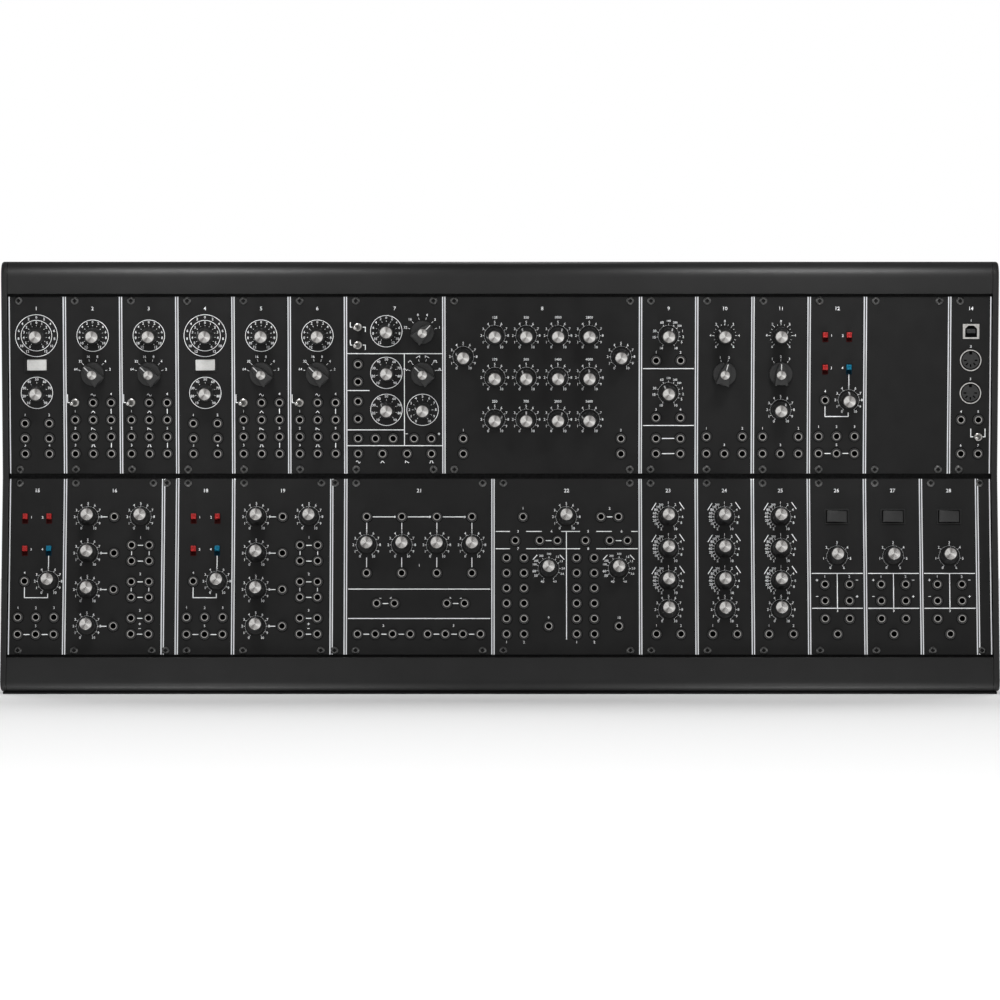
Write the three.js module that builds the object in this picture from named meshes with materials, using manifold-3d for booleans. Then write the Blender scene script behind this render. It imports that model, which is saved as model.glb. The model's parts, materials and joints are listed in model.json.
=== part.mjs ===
// Modular synthesizer: two rows of modules in a folded steel case between two end cheeks.
// Millimetres, +Z up, front towards -Y. It stands on its base, centred on its footprint.
import * as THREE from 'three';
import { mergeVertices } from 'three/addons/utils/BufferGeometryUtils.js';
import Module from 'manifold-3d';

const wasm = await Module();
wasm.setup();

// Rows and panels
const panelPitch = 5.08;
const rowUnits = 140;
const panelHeight = 128.5;
const panelThickness = 2;
const panelSideGap = 0.3;
const rowGap = 3.9;
const upperTilt = THREE.MathUtils.degToRad(6);
const lowerTilt = THREE.MathUtils.degToRad(9);
const screwInset = 3;

// Case
const topFascia = 23.77;
const baseFascia = 27.035;
const rearDepth = 75;
const sheet = 1.5;
const topBend = 9;
const baseBend = 6.5;
const rearBend = 4;
const lipBend = 1.6;
const fasciaProud = 3;
const fasciaGap = 2.2;
const lipDepth = 10;
const rowEndGap = 0.35;
const cheekThickness = 4.4;
const cheekRim = 2;
const seatGap = 0.3;

// Mounting rails
const railDepth = 12;
const slotMouth = 3.2;
const slotWidth = 5.6;
const slotLip = 2;
const slotDepth = 5;

// Module boards
const boardStandoff = 10;
const boardThickness = 1.6;
const boardEndInset = 10.5;
const boardSideInset = 2.5;
const boardStud = 7;
const boardStudHeight = 60;

// Jacks
const jackNutRadius = 4;
const jackBoreRadius = 1.8;
const jackBoreDepth = 1.4;
const jackRootDepth = 1.8;
const jackHeight = 2.2;

// Knobs
const knobRadius = 6.1;
const knobTopRadius = 5;
const knobHeight = 12.8;
const capRadius = 4.35;
const capHeight = 0.7;
const knobLift = 0.6;
const shaftRadius = 3;
const shaftHeight = 9;
const shaftGap = 0.35;
const pointerWidth = 0.9;
const pointerDepth = 0.5;

// Rotary selectors
const selectorRadius = 8.4;
const selectorDisc = 3;
const selectorHeight = 12.2;
const selectorCapRadius = 3.4;
// Right side of the bar grip from its nose to the hollow of its tail, in shares of the selector's radius
const gripOutline = [[0.18, 0.92], [0.33, 0.55], [0.48, 0], [0.54, -0.6], [0.46, -0.8], [0, -0.77]];

// Toggle switches
const toggleNutRadius = 4;
const bushingRadius = 3.4;
const bushingHeight = 3.6;
const bushingBore = 2.6;
const leverRadius = 0.95;
const leverTipRadius = 1.5;
const leverLength = 10.5;
const leverRoot = 1;
const leverSwing = THREE.MathUtils.degToRad(12);

// Slide switches
const slideWidth = 3.5;
const slideCap = 3.6;
const slideProud = 3;
const slideTravel = 3.1;
const slideGap = 0.35;
const slideStem = 1.2;

// Rocker switches
const whiteRockerLength = 14.2;
const whiteRockerWidth = 7.8;
const blackRockerLength = 14.9;
const blackRockerWidth = 8.3;
const powerRockerLength = 17.4;
const powerRockerWidth = 11;
const rockerProud = 2.3;
const rockerDrop = 0.5;
const rockerFlat = 0.64;
const rockerRoot = 3;
const rockerTaper = 1;
const rockerGap = 0.4;
const rockerSwing = THREE.MathUtils.degToRad(8);
const pocketDepth = 4.4;
const pocketWall = 1.2;
const bezelProud = 0.8;
const bezelWidth = 1;

// Sockets of the converter module
const usbWidth = 12;
const usbHeight = 10.9;
const usbWall = 1.7;
const usbProud = 0.8;
const usbDepth = 1.5;
const usbTongueWidth = 5.6;
const usbTongueHeight = 3.2;
const dinRadius = 7.9;
const dinProud = 1.2;
const dinPinCircle = 4.2;
const dinPinRadius = 0.75;
const dinPinDepth = 2.4;
const dinKeyWidth = 2;
const dinKeyHeight = 1.6;

// Power entry and distribution
const entryDepth = 22;
const entryWidth = 52;
const entryHeight = 20;
const entryInset = 60;
const entryRise = 44;
const inletRadius = 6;
const inletProud = 1.6;
const inletBore = 2.8;
const inletPin = 1;
const inletBoreDepth = 9;
const entryPitch = 22;
const busLength = 480;
const busHeight = 56;
const busStandoff = 5;
const busStud = 6;
const headerLength = 20;
const headerHeight = 9;
const headerDepth = 8.5;

// Shared overrun of cuts and sunk roots of joined pieces, and the slack within which faces are merged
const overrun = 1;
const slack = 0.001;

// Turned pieces get these counts of sides
const jackSides = 6;
const knobSides = 8;
const dinSides = 12;
const pinSides = 4;
const bendSteps = 3;

// Turns a closed geometry into a solid that can be joined and cut
function toSolid(source) {
  const bare = source.clone();
  for (const name of Object.keys(bare.attributes)) {
    if (name !== 'position') {
      bare.deleteAttribute(name);
    }
  }
  const merged = mergeVertices(bare);
  const index = [...merged.index.array];
  const corners = [];
  for (let i = 0; i < index.length; i += 3) {
    const [a, b, c] = index.slice(i, i + 3);
    if (a !== b && b !== c && c !== a) {
      corners.push(a, b, c);
    }
  }
  return new wasm.Manifold(new wasm.Mesh({
    numProp: 3,
    vertProperties: new Float32Array(merged.attributes.position.array),
    triVerts: new Uint32Array(corners),
  }));
}

function toGeometry(solid) {
  const mesh = solid.simplify(slack).getMesh();
  const geometry = new THREE.BufferGeometry();
  geometry.setAttribute('position', new THREE.BufferAttribute(mesh.vertProperties, 3));
  geometry.setIndex(new THREE.BufferAttribute(mesh.triVerts, 1));
  geometry.computeVertexNormals();
  return geometry;
}

// A revolved solid whose axis points out of the panel, from [radius, height] pairs
function turned(profile, sides) {
  const points = profile.map(([radius, height]) => new THREE.Vector2(radius, height));
  const geometry = new THREE.LatheGeometry(points, sides);
  geometry.rotateX(Math.PI);
  return toSolid(geometry);
}

// An outline in the plane of the panel, raised between two heights above it
function raised(outline, from, to) {
  const shape = new THREE.Shape(outline.map(([x, z]) => new THREE.Vector2(x, z)));
  const geometry = new THREE.ExtrudeGeometry(shape, { depth: to - from, bevelEnabled: false });
  geometry.rotateX(Math.PI / 2);
  geometry.translate(0, -from, 0);
  return toSolid(geometry);
}

// A block between two corners, each [x, y, z]
function block(low, high) {
  const size = high.map((value, i) => value - low[i]);
  const geometry = new THREE.BoxGeometry(...size);
  geometry.translate(...high.map((value, i) => (value + low[i]) / 2));
  return toSolid(geometry);
}

// An outline in the side view, extruded along X and centred
function sideProfile(points, length) {
  const geometry = new THREE.ExtrudeGeometry(new THREE.Shape(points), { depth: length, bevelEnabled: false });
  geometry.applyMatrix4(sideView);
  geometry.translate(-length / 2, 0, 0);
  return toSolid(geometry);
}

function joined(solids) {
  return solids.reduce((whole, next) => whole.add(next));
}

const sideView = new THREE.Matrix4().makeBasis(
  new THREE.Vector3(0, 1, 0),
  new THREE.Vector3(0, 0, 1),
  new THREE.Vector3(1, 0, 0),
);

// The case is as high as its two rows and the fascias beyond them reach
const panelEnd = rowGap / 2 + panelHeight;
const fasciaStart = panelEnd + fasciaGap;
const foldHeight = Math.cos(lowerTilt) * (fasciaStart + baseFascia) - Math.sin(lowerTilt) * fasciaProud;
const topRise = Math.cos(upperTilt) * (fasciaStart + topFascia) - Math.sin(upperTilt) * fasciaProud;
const caseHeight = foldHeight + topRise;

// Places in the side view, at a distance along a row from the fold and a depth behind its panels
const fold = new THREE.Vector2(0, foldHeight);
const rows = {
  upper: {
    along: new THREE.Vector2(-Math.sin(upperTilt), Math.cos(upperTilt)),
    inward: new THREE.Vector2(Math.cos(upperTilt), Math.sin(upperTilt)),
  },
  lower: {
    along: new THREE.Vector2(-Math.sin(lowerTilt), -Math.cos(lowerTilt)),
    inward: new THREE.Vector2(Math.cos(lowerTilt), -Math.sin(lowerTilt)),
  },
};

function rowPoint(row, distance, depth) {
  return fold.clone().addScaledVector(row.along, distance).addScaledVector(row.inward, depth);
}

// Where the line through a point along a direction crosses another such line
function crossing(pointA, directionA, pointB, directionB) {
  const gap = pointB.clone().sub(pointA);
  const share = gap.cross(directionB) / directionA.cross(directionB);
  return pointA.clone().addScaledVector(directionA, share);
}

// Rounds each corner of a path that has a radius
function rounded(corners, radii, closed) {
  const points = [];
  const count = corners.length;
  corners.forEach((corner, i) => {
    const open = !closed && (i === 0 || i === count - 1);
    if (open || radii[i] === 0) {
      points.push(corner.clone());
      return;
    }
    const back = corners[(i + count - 1) % count].clone().sub(corner).normalize();
    const ahead = corners[(i + 1) % count].clone().sub(corner).normalize();
    const half = Math.acos(back.dot(ahead)) / 2;
    const centre = corner.clone().add(
      back.clone().add(ahead).normalize().multiplyScalar(radii[i] / Math.sin(half)),
    );
    const from = corner.clone().addScaledVector(back, radii[i] / Math.tan(half)).sub(centre);
    const to = corner.clone().addScaledVector(ahead, radii[i] / Math.tan(half)).sub(centre);
    const turn = Math.atan2(from.cross(to), from.dot(to));
    for (let step = 0; step <= bendSteps; step += 1) {
      const share = step / bendSteps;
      points.push(from.clone().rotateAround(new THREE.Vector2(), turn * share).add(centre));
    }
  });
  return points;
}

// The same path moved sideways by the thickness of the sheet
function offsetPath(corners, distance) {
  const normals = corners.slice(1).map((corner, i) => {
    const way = corner.clone().sub(corners[i]).normalize();
    return { way, aside: new THREE.Vector2(way.y, -way.x).multiplyScalar(distance) };
  });
  return corners.map((corner, i) => {
    const before = normals[i - 1];
    const after = normals[i];
    if (!before || !after) {
      return corner.clone().add((before || after).aside);
    }
    return crossing(corner.clone().add(before.aside), before.way, corner.clone().add(after.aside), after.way);
  });
}

const topFront = rowPoint(rows.upper, fasciaStart + topFascia, -fasciaProud);
const baseFront = rowPoint(rows.lower, fasciaStart + baseFascia, -fasciaProud);
const topRear = new THREE.Vector2(rearDepth, caseHeight);
const baseRear = new THREE.Vector2(rearDepth, 0);
const rowLength = rowUnits * panelPitch;
const shellLength = rowLength + rowEndGap;

// Power entry places, seen in the rear wall
const entryX = shellLength / 2 - entryInset;
const inletX = entryX + entryPitch / 2;
const switchX = entryX - entryPitch / 2;

function switchWindow(length, width, gap) {
  return [length / 2 + gap, width / 2 + gap];
}

// One bent sheet: lip, top fascia, top, rear wall, base, bottom fascia, lip
function caseShell() {
  const corners = [
    rowPoint(rows.upper, fasciaStart, lipDepth - fasciaProud),
    rowPoint(rows.upper, fasciaStart, -fasciaProud),
    topFront,
    topRear,
    baseRear,
    baseFront,
    rowPoint(rows.lower, fasciaStart, -fasciaProud),
    rowPoint(rows.lower, fasciaStart, lipDepth - fasciaProud),
  ];
  const radii = [0, lipBend, topBend, rearBend, rearBend, baseBend, lipBend, 0];
  const outer = rounded(corners, radii, false);
  const inner = rounded(offsetPath(corners, sheet), radii.map((radius) => Math.max(radius - sheet, 0)), false);
  const shell = sideProfile([...outer, ...inner.reverse()], shellLength);
  const [halfLength, halfWidth] = switchWindow(powerRockerLength, powerRockerWidth, pocketWall + seatGap);
  const window = block(
    [switchX - halfLength, rearDepth - sheet - overrun, entryRise - halfWidth],
    [switchX + halfLength, rearDepth + overrun, entryRise + halfWidth],
  );
  const inletHole = turned([
    [0, 0],
    [inletRadius + seatGap, 0],
    [inletRadius + seatGap, sheet + 2 * overrun],
    [0, sheet + 2 * overrun],
  ], knobSides).translate([inletX, rearDepth + overrun, entryRise]);
  return shell.subtract(window).subtract(inletHole);
}

// An end cheek: the case's side outline, rounded over on its outer face
function cheek() {
  const foldFront = crossing(
    rowPoint(rows.upper, 0, -fasciaProud),
    rows.upper.along,
    rowPoint(rows.lower, 0, -fasciaProud),
    rows.lower.along,
  );
  const corners = [foldFront, topFront, topRear, baseRear, baseFront];
  const outline = rounded(corners, [0, topBend, rearBend, rearBend, baseBend], true);
  const geometry = new THREE.ExtrudeGeometry(new THREE.Shape(outline), {
    depth: cheekThickness,
    bevelThickness: cheekRim,
    bevelSize: cheekRim,
    bevelOffset: -cheekRim,
    bevelSegments: 2,
  });
  geometry.applyMatrix4(sideView);
  geometry.translate(-cheekRim, 0, 0);
  const size = new THREE.Vector3();
  geometry.computeBoundingBox();
  geometry.boundingBox.getSize(size);
  const reach = size.y + size.z;
  const innerHalf = block([-reach, -reach, -reach], [0, reach, reach]);
  return toSolid(geometry).subtract(innerHalf);
}

// The profile of a rail's face along one row, with the slot that takes the nuts of the panel screws
function slottedFace(row, from, to) {
  const depth = panelThickness + seatGap;
  const sign = Math.sign(to - from);
  const middle = (from + to) / 2;
  const steps = [
    [from, 0],
    [middle - sign * slotMouth / 2, 0],
    [middle - sign * slotMouth / 2, slotLip],
    [middle - sign * slotWidth / 2, slotLip],
    [middle - sign * slotWidth / 2, slotDepth],
    [middle + sign * slotWidth / 2, slotDepth],
    [middle + sign * slotWidth / 2, slotLip],
    [middle + sign * slotMouth / 2, slotLip],
    [middle + sign * slotMouth / 2, 0],
    [to, 0],
  ];
  return steps.map(([distance, in_]) => rowPoint(row, distance, depth + in_));
}

function endRail(row) {
  const outer = fasciaStart - seatGap;
  const screws = panelEnd - screwInset;
  const inner = 2 * screws - outer;
  const back = panelThickness + seatGap + railDepth;
  const points = [
    ...slottedFace(row, inner, outer),
    rowPoint(row, outer, back),
    rowPoint(row, inner, back),
  ];
  return sideProfile(points, shellLength);
}

function centreRail() {
  const depth = panelThickness + seatGap;
  const reach = 2 * (rowGap / 2 + screwInset);
  const back = depth + railDepth;
  const nose = crossing(
    rowPoint(rows.upper, 0, depth),
    rows.upper.along,
    rowPoint(rows.lower, 0, depth),
    rows.lower.along,
  );
  const points = [
    nose,
    ...slottedFace(rows.upper, 0, reach).slice(1),
    rowPoint(rows.upper, reach, back),
    rowPoint(rows.lower, reach, back),
    ...slottedFace(rows.lower, reach, 0).slice(0, -1),
  ];
  return sideProfile(points, shellLength);
}

// Power distribution board with its ribbon headers, on studs from the rear wall
function powerBoard() {
  const wallY = rearDepth - sheet - seatGap;
  const boardBack = wallY - busStandoff;
  const boardFront = boardBack - boardThickness;
  const low = foldHeight - busHeight / 2;
  const pieces = [block([-busLength / 2, boardFront, low], [busLength / 2, boardBack, low + busHeight])];
  const studShares = [-0.46, 0.46];
  for (const share of studShares) {
    for (const end of [low + busStud, low + busHeight - busStud]) {
      pieces.push(block(
        [busLength * share - busStud / 2, boardBack - boardThickness / 2, end - busStud / 2],
        [busLength * share + busStud / 2, wallY, end + busStud / 2],
      ));
    }
  }
  const headerShares = [-0.36, -0.12, 0.12, 0.36];
  for (const share of headerShares) {
    pieces.push(block(
      [busLength * share - headerLength / 2, boardFront - headerDepth, foldHeight - headerHeight / 2],
      [busLength * share + headerLength / 2, boardBack - boardThickness / 2, foldHeight + headerHeight / 2],
    ));
  }
  return joined(pieces);
}

// DC inlet and switch housing in one moulding behind the rear wall; both reach out through it
function powerEntry() {
  const wallY = rearDepth - sheet - seatGap;
  const body = block(
    [entryX - entryWidth / 2, wallY - entryDepth, entryRise - entryHeight / 2],
    [entryX + entryWidth / 2, wallY, entryRise + entryHeight / 2],
  );
  const face = rearDepth + inletProud;
  const barrelLength = face - wallY + overrun;
  const barrel = turned([
    [0, 0],
    [inletRadius, 0],
    [inletRadius, barrelLength],
    [0, barrelLength],
  ], knobSides).translate([inletX, face, entryRise]);
  const bore = turned([
    [inletPin, 0],
    [inletBore, 0],
    [inletBore, inletBoreDepth + overrun],
    [inletPin, inletBoreDepth + overrun],
    [inletPin, 0],
  ], knobSides).translate([inletX, face + overrun, entryRise]);
  const [halfLength, halfWidth] = switchWindow(powerRockerLength, powerRockerWidth, pocketWall);
  const frame = block(
    [switchX - halfLength, wallY - overrun, entryRise - halfWidth],
    [switchX + halfLength, rearDepth + bezelProud, entryRise + halfWidth],
  );
  const [pocketX, pocketZ] = switchWindow(powerRockerLength, powerRockerWidth, rockerGap);
  const pocket = block(
    [switchX - pocketX, rearDepth + bezelProud - pocketDepth, entryRise - pocketZ],
    [switchX + pocketX, rearDepth + bezelProud + overrun, entryRise + pocketZ],
  );
  return joined([body, barrel, frame]).subtract(pocket).subtract(bore);
}

// Rocker: flat on top, falling away at both ends, and turning about its middle
function rocker(length, width) {
  const half = length / 2;
  const outline = [
    new THREE.Vector2(-half, rockerProud - rockerDrop),
    new THREE.Vector2(-half + rockerTaper, -rockerRoot),
    new THREE.Vector2(half - rockerTaper, -rockerRoot),
    new THREE.Vector2(half, rockerProud - rockerDrop),
    new THREE.Vector2(half * rockerFlat, rockerProud),
    new THREE.Vector2(-half * rockerFlat, rockerProud),
  ];
  const geometry = new THREE.ExtrudeGeometry(new THREE.Shape(outline), { depth: width, bevelEnabled: false });
  geometry.translate(0, 0, -width / 2);
  geometry.rotateX(Math.PI);
  return toSolid(geometry);
}

function rockerPocket(length, width) {
  const [halfX, halfZ] = switchWindow(length, width, rockerGap);
  const bezel = block(
    [-halfX - bezelWidth, -bezelProud, -halfZ - bezelWidth],
    [halfX + bezelWidth, panelThickness / 2, halfZ + bezelWidth],
  );
  const housing = block(
    [-halfX - pocketWall, panelThickness / 2, -halfZ - pocketWall],
    [halfX + pocketWall, pocketDepth + pocketWall, halfZ + pocketWall],
  );
  const cut = block([-halfX, -bezelProud - overrun, -halfZ], [halfX, pocketDepth, halfZ]);
  return { add: bezel.add(housing), cut };
}

// Knob: tapered body with a bevelled cap let into its top
function looseKnob() {
  const body = turned([
    [0, knobLift],
    [knobRadius, knobLift],
    [knobTopRadius, knobHeight],
    [capRadius, knobHeight + capHeight],
    [0, knobHeight + capHeight],
  ], knobSides);
  const groove = block(
    [-pointerWidth / 2, -knobHeight, knobTopRadius * Math.cos(Math.PI / knobSides) - pointerDepth],
    [pointerWidth / 2, overrun, knobRadius + overrun],
  );
  return body.subtract(groove).subtract(shaftBore());
}

// The same knob where it stays with its panel, plain on top
function fixedKnob() {
  return turned([
    [0, -panelThickness / 2],
    [knobRadius, -panelThickness / 2],
    [capRadius, knobHeight + capHeight],
    [0, knobHeight + capHeight],
  ], knobSides);
}

function shaftBore() {
  return turned([
    [0, -overrun],
    [shaftRadius + shaftGap, -overrun],
    [shaftRadius + shaftGap, shaftHeight + shaftGap],
    [0, shaftHeight + shaftGap],
  ], knobSides);
}

function shaft() {
  return turned([[0, -overrun], [shaftRadius, -overrun], [shaftRadius, shaftHeight], [0, shaftHeight]], knobSides);
}

// Selector: a round base with a bar grip, narrow at its pointer and wide at its tail
function selector(lift) {
  const base = turned([
    [0, lift],
    [selectorRadius, lift],
    [selectorRadius, lift + selectorDisc],
    [0, lift + selectorDisc],
  ], knobSides);
  const right = gripOutline.map(([x, z]) => [x * selectorRadius, z * selectorRadius]);
  const left = right.slice(0, -1).map(([x, z]) => [-x, z]).reverse();
  const grip = raised([...right, ...left], lift + selectorDisc / 2, selectorHeight);
  const cap = turned([
    [0, selectorHeight - overrun],
    [selectorCapRadius, selectorHeight - overrun],
    [selectorCapRadius, selectorHeight + capHeight],
    [0, selectorHeight + capHeight],
  ], knobSides);
  return joined([base, grip, cap]);
}

// Toggle lever about its pivot at the panel's face
function lever() {
  return turned([
    [0, -leverRoot],
    [leverRadius, -leverRoot],
    [leverTipRadius, leverLength - leverTipRadius / 2],
    [0, leverLength],
  ], jackSides);
}

function bushing() {
  return turned([
    [0, -overrun],
    [toggleNutRadius, -overrun],
    [bushingRadius, bushingHeight],
    [0, bushingHeight],
  ], jackSides);
}

function bushingCut() {
  const root = leverRoot + seatGap;
  return turned([
    [0, -root],
    [bushingBore, -root],
    [bushingBore, bushingHeight + overrun],
    [0, bushingHeight + overrun],
  ], jackSides);
}

// Slide cap with its stem in the slot
function slideCapSolid() {
  return block([-slideWidth / 2, -slideProud, -slideCap / 2], [slideWidth / 2, slideStem, slideCap / 2]);
}

function slideSlot() {
  const halfWidth = slideWidth / 2 + slideGap;
  return block(
    [-halfWidth, -overrun, -slideCap / 2 - slideTravel - slideGap],
    [halfWidth, slideStem + seatGap, slideCap / 2 + slideGap],
  );
}

// Jack socket: a nut coned up to the mouth of its bore, let into a recess that it fills
function jackInsert() {
  return turned([
    [0, -jackRootDepth],
    [jackNutRadius, -jackRootDepth],
    [jackNutRadius, 0],
    [jackBoreRadius, jackHeight],
    [jackBoreRadius, -jackBoreDepth],
    [0, -jackBoreDepth],
  ], jackSides);
}

function jackRecess() {
  const radius = (jackNutRadius + jackBoreRadius) / 2;
  const depth = (jackRootDepth + jackBoreDepth) / 2;
  return turned([[0, -depth], [radius, -depth], [radius, overrun], [0, overrun]], jackSides);
}

function usbSocket() {
  const shell = block(
    [-usbWidth / 2, -usbProud, -usbHeight / 2],
    [usbWidth / 2, panelThickness / 2, usbHeight / 2],
  );
  const hole = block(
    [-usbWidth / 2 + usbWall, -usbProud - overrun, -usbHeight / 2 + usbWall],
    [usbWidth / 2 - usbWall, usbDepth, usbHeight / 2 - usbWall],
  );
  const tongue = block(
    [-usbTongueWidth / 2, -usbProud, -usbTongueHeight / 2],
    [usbTongueWidth / 2, usbDepth + overrun, usbTongueHeight / 2],
  );
  return { add: shell, cut: hole.subtract(tongue) };
}

function dinSocket() {
  const face = turned([[0, -overrun], [dinRadius, -overrun], [dinRadius, dinProud], [0, dinProud]], dinSides);
  const pin = turned([
    [0, dinProud - dinPinDepth],
    [dinPinRadius, dinProud - dinPinDepth],
    [dinPinRadius, dinProud + overrun],
    [0, dinProud + overrun],
  ], pinSides);
  const pinAngles = [180, 225, 270, 315, 0].map((angle) => THREE.MathUtils.degToRad(angle));
  const pins = pinAngles.map((angle) => pin.translate([
    dinPinCircle * Math.cos(angle),
    0,
    dinPinCircle * Math.sin(angle),
  ]));
  const key = block(
    [-dinKeyWidth / 2, -dinProud - overrun, dinRadius - dinKeyHeight],
    [dinKeyWidth / 2, 0, dinRadius + overrun],
  );
  return { add: face, cut: joined([...pins, key]) };
}

// Places on the modules: shares of the width from the left and of the height from the top
const driverShares = {
  knobs: [[0.5, 0.22], [0.5, 0.543]],
  whiteRockers: [[0.5, 0.385]],
  jackColumns: [0.285, 0.715],
  jackRows: [0.7155, 0.801, 0.8875],
};
const oscillatorShares = {
  knobs: [[0.5, 0.22]],
  selectors: [[0.5, 0.436]],
  toggles: [[0.18, 0.598]],
  jacks: [[0.5, 0.598], [0.82, 0.598]],
  jackColumns: [0.18, 0.5, 0.82],
  jackRows: [0.695, 0.791, 0.887],
};
const voltageOscillatorShares = {
  knobs: [[0.415, 0.195], [0.415, 0.43], [0.415, 0.639], [0.783, 0.639]],
  selectors: [[0.783, 0.2], [0.783, 0.436]],
  toggles: [[0.126, 0.1715], [0.126, 0.273]],
  jacks: [
    [0.126, 0.382], [0.126, 0.48], [0.126, 0.591], [0.126, 0.69],
    [0.126, 0.801], [0.3025, 0.801], [0.482, 0.801], [0.696, 0.801], [0.872, 0.801],
    [0.126, 0.887], [0.374, 0.887], [0.625, 0.887], [0.873, 0.887],
  ],
};
const filterBankShares = {
  knobColumns: [0.259, 0.419, 0.5805, 0.74],
  knobRows: [0.22, 0.457, 0.694],
  knobs: [[0.0987, 0.339], [0.9013, 0.339]],
  jackColumns: [0.0987, 0.9013],
  jackRows: [0.801, 0.8875],
};
const twinFilterShares = {
  knobs: [[0.5, 0.22], [0.5, 0.543]],
  jackColumns: [0.28, 0.715],
  jackRows: [0.36, 0.683, 0.801, 0.887],
};
const highPassShares = {
  knobs: [[0.5, 0.22]],
  selectors: [[0.5, 0.436]],
  jacks: [[0.18, 0.791], [0.82, 0.791], [0.18, 0.887], [0.5, 0.887], [0.82, 0.887]],
};
const lowPassShares = {
  ...highPassShares,
  knobs: [[0.5, 0.22], [0.5, 0.639]],
};
const controllerShares = {
  redSlides: [[0.29, 0.22], [0.714, 0.22], [0.29, 0.403]],
  blueSlides: [[0.714, 0.403]],
  knobs: [[0.712, 0.584]],
  jacks: [[0.291, 0.584]],
  jackColumns: [0.18, 0.5, 0.82],
  jackRows: [0.789, 0.886],
};
const mixerShares = {
  knobs: [[0.769, 0.217], [0.233, 0.217], [0.233, 0.424], [0.233, 0.631], [0.233, 0.839]],
  jacks: [[0.501, 0.217], [0.501, 0.424], [0.501, 0.631], [0.501, 0.839]],
  jackColumns: [0.68, 0.859],
  jackRows: [0.379, 0.469, 0.587, 0.675, 0.794, 0.884],
};
const attenuatorShares = {
  knobColumns: [0.143, 0.381, 0.619, 0.857],
  knobRows: [0.377],
  jackColumns: [0.143, 0.381, 0.619, 0.857],
  jackRows: [0.217, 0.5376],
  jacks: [
    ...[0.212, 0.332, 0.687, 0.807].map((x) => [x, 0.71]),
    ...[0.083, 0.203, 0.3205, 0.44, 0.558, 0.6775, 0.7965, 0.915].map((x) => [x, 0.884]),
  ],
};
const triggerShares = {
  knobs: [[0.498, 0.217], [0.377, 0.511], [0.853, 0.511]],
  jackColumns: [0.092, 0.21, 0.567, 0.6865],
  jackRows: [0.4515, 0.5376, 0.6236, 0.71, 0.7967, 0.884],
  jacks: [
    ...[0.204, 0.733, 0.852].map((x) => [x, 0.217]),
    ...[0.151, 0.317, 0.437, 0.627, 0.792, 0.912].map((x) => [x, 0.3525]),
    ...[0.377, 0.853].map((x) => [x, 0.839]),
  ],
};
const envelopeShares = {
  knobs: [[0.5, 0.217], [0.5, 0.399], [0.5, 0.581], [0.5, 0.745]],
  jacks: [[0.28, 0.884], [0.715, 0.884]],
};
const amplifierShares = {
  blackRockers: [[0.5, 0.216]],
  knobs: [[0.5, 0.441]],
  jacks: [[0.5, 0.884]],
  jackColumns: [0.28, 0.715],
  jackRows: [0.602, 0.6954, 0.7967],
};
const converterShares = {
  usbSockets: [[0.51, 0.196]],
  dinSockets: [[0.506, 0.359], [0.506, 0.544]],
  toggles: [[0.7, 0.792]],
  jackColumns: [0.287, 0.7],
  jackRows: [0.695, 0.887],
};

// Modules of each row from left to right, with the controls that are separate moving pieces.
// A moving control is named with its kind and its place in that kind's list.
const upperModules = [
  {
    name: 'oscillator_driver_1', units: 8, shares: driverShares,
    moving: [['driver_frequency_knob', 'knobs', 0, -60], ['driver_range_rocker', 'whiteRockers', 0]],
  },
  {
    name: 'oscillator_1', units: 8, shares: oscillatorShares,
    moving: [
      ['oscillator_frequency_knob', 'knobs', 0, -114],
      ['oscillator_range_selector', 'selectors', 0, -45],
      ['oscillator_sync_toggle', 'toggles', 0],
    ],
  },
  { name: 'oscillator_2', units: 8, shares: oscillatorShares },
  { name: 'oscillator_driver_2', units: 8, shares: driverShares },
  { name: 'oscillator_3', units: 8, shares: oscillatorShares },
  { name: 'oscillator_4', units: 8, shares: oscillatorShares },
  {
    name: 'voltage_oscillator', units: 14, shares: voltageOscillatorShares,
    moving: [
      ['voltage_oscillator_tune_knob', 'knobs', 0, 22],
      ['voltage_oscillator_octave_selector', 'selectors', 0, 45],
      ['voltage_oscillator_sync_toggle', 'toggles', 0],
    ],
  },
  {
    name: 'filter_bank', units: 28, shares: filterBankShares,
    moving: [['filter_bank_level_knob', 'knobs', 2, -99]],
  },
  {
    name: 'twin_filter', units: 8, shares: twinFilterShares,
    moving: [['twin_filter_cutoff_knob', 'knobs', 0, 27]],
  },
  {
    name: 'high_pass_filter', units: 8, shares: highPassShares,
    moving: [['high_pass_range_selector', 'selectors', 0, 15]],
  },
  {
    name: 'low_pass_filter', units: 8, shares: lowPassShares,
    moving: [['low_pass_cutoff_knob', 'knobs', 0, 57], ['low_pass_range_selector', 'selectors', 0, 0]],
  },
  {
    name: 'control_voltage_panel', units: 8, shares: controllerShares,
    moving: [['reference_voltage_slide', 'blueSlides', 0]],
  },
  { name: 'wide_blank_panel', units: 12, shares: {} },
  {
    name: 'midi_converter', units: 6, shares: converterShares,
    moving: [['midi_mode_toggle', 'toggles', 0]],
  },
];
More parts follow.
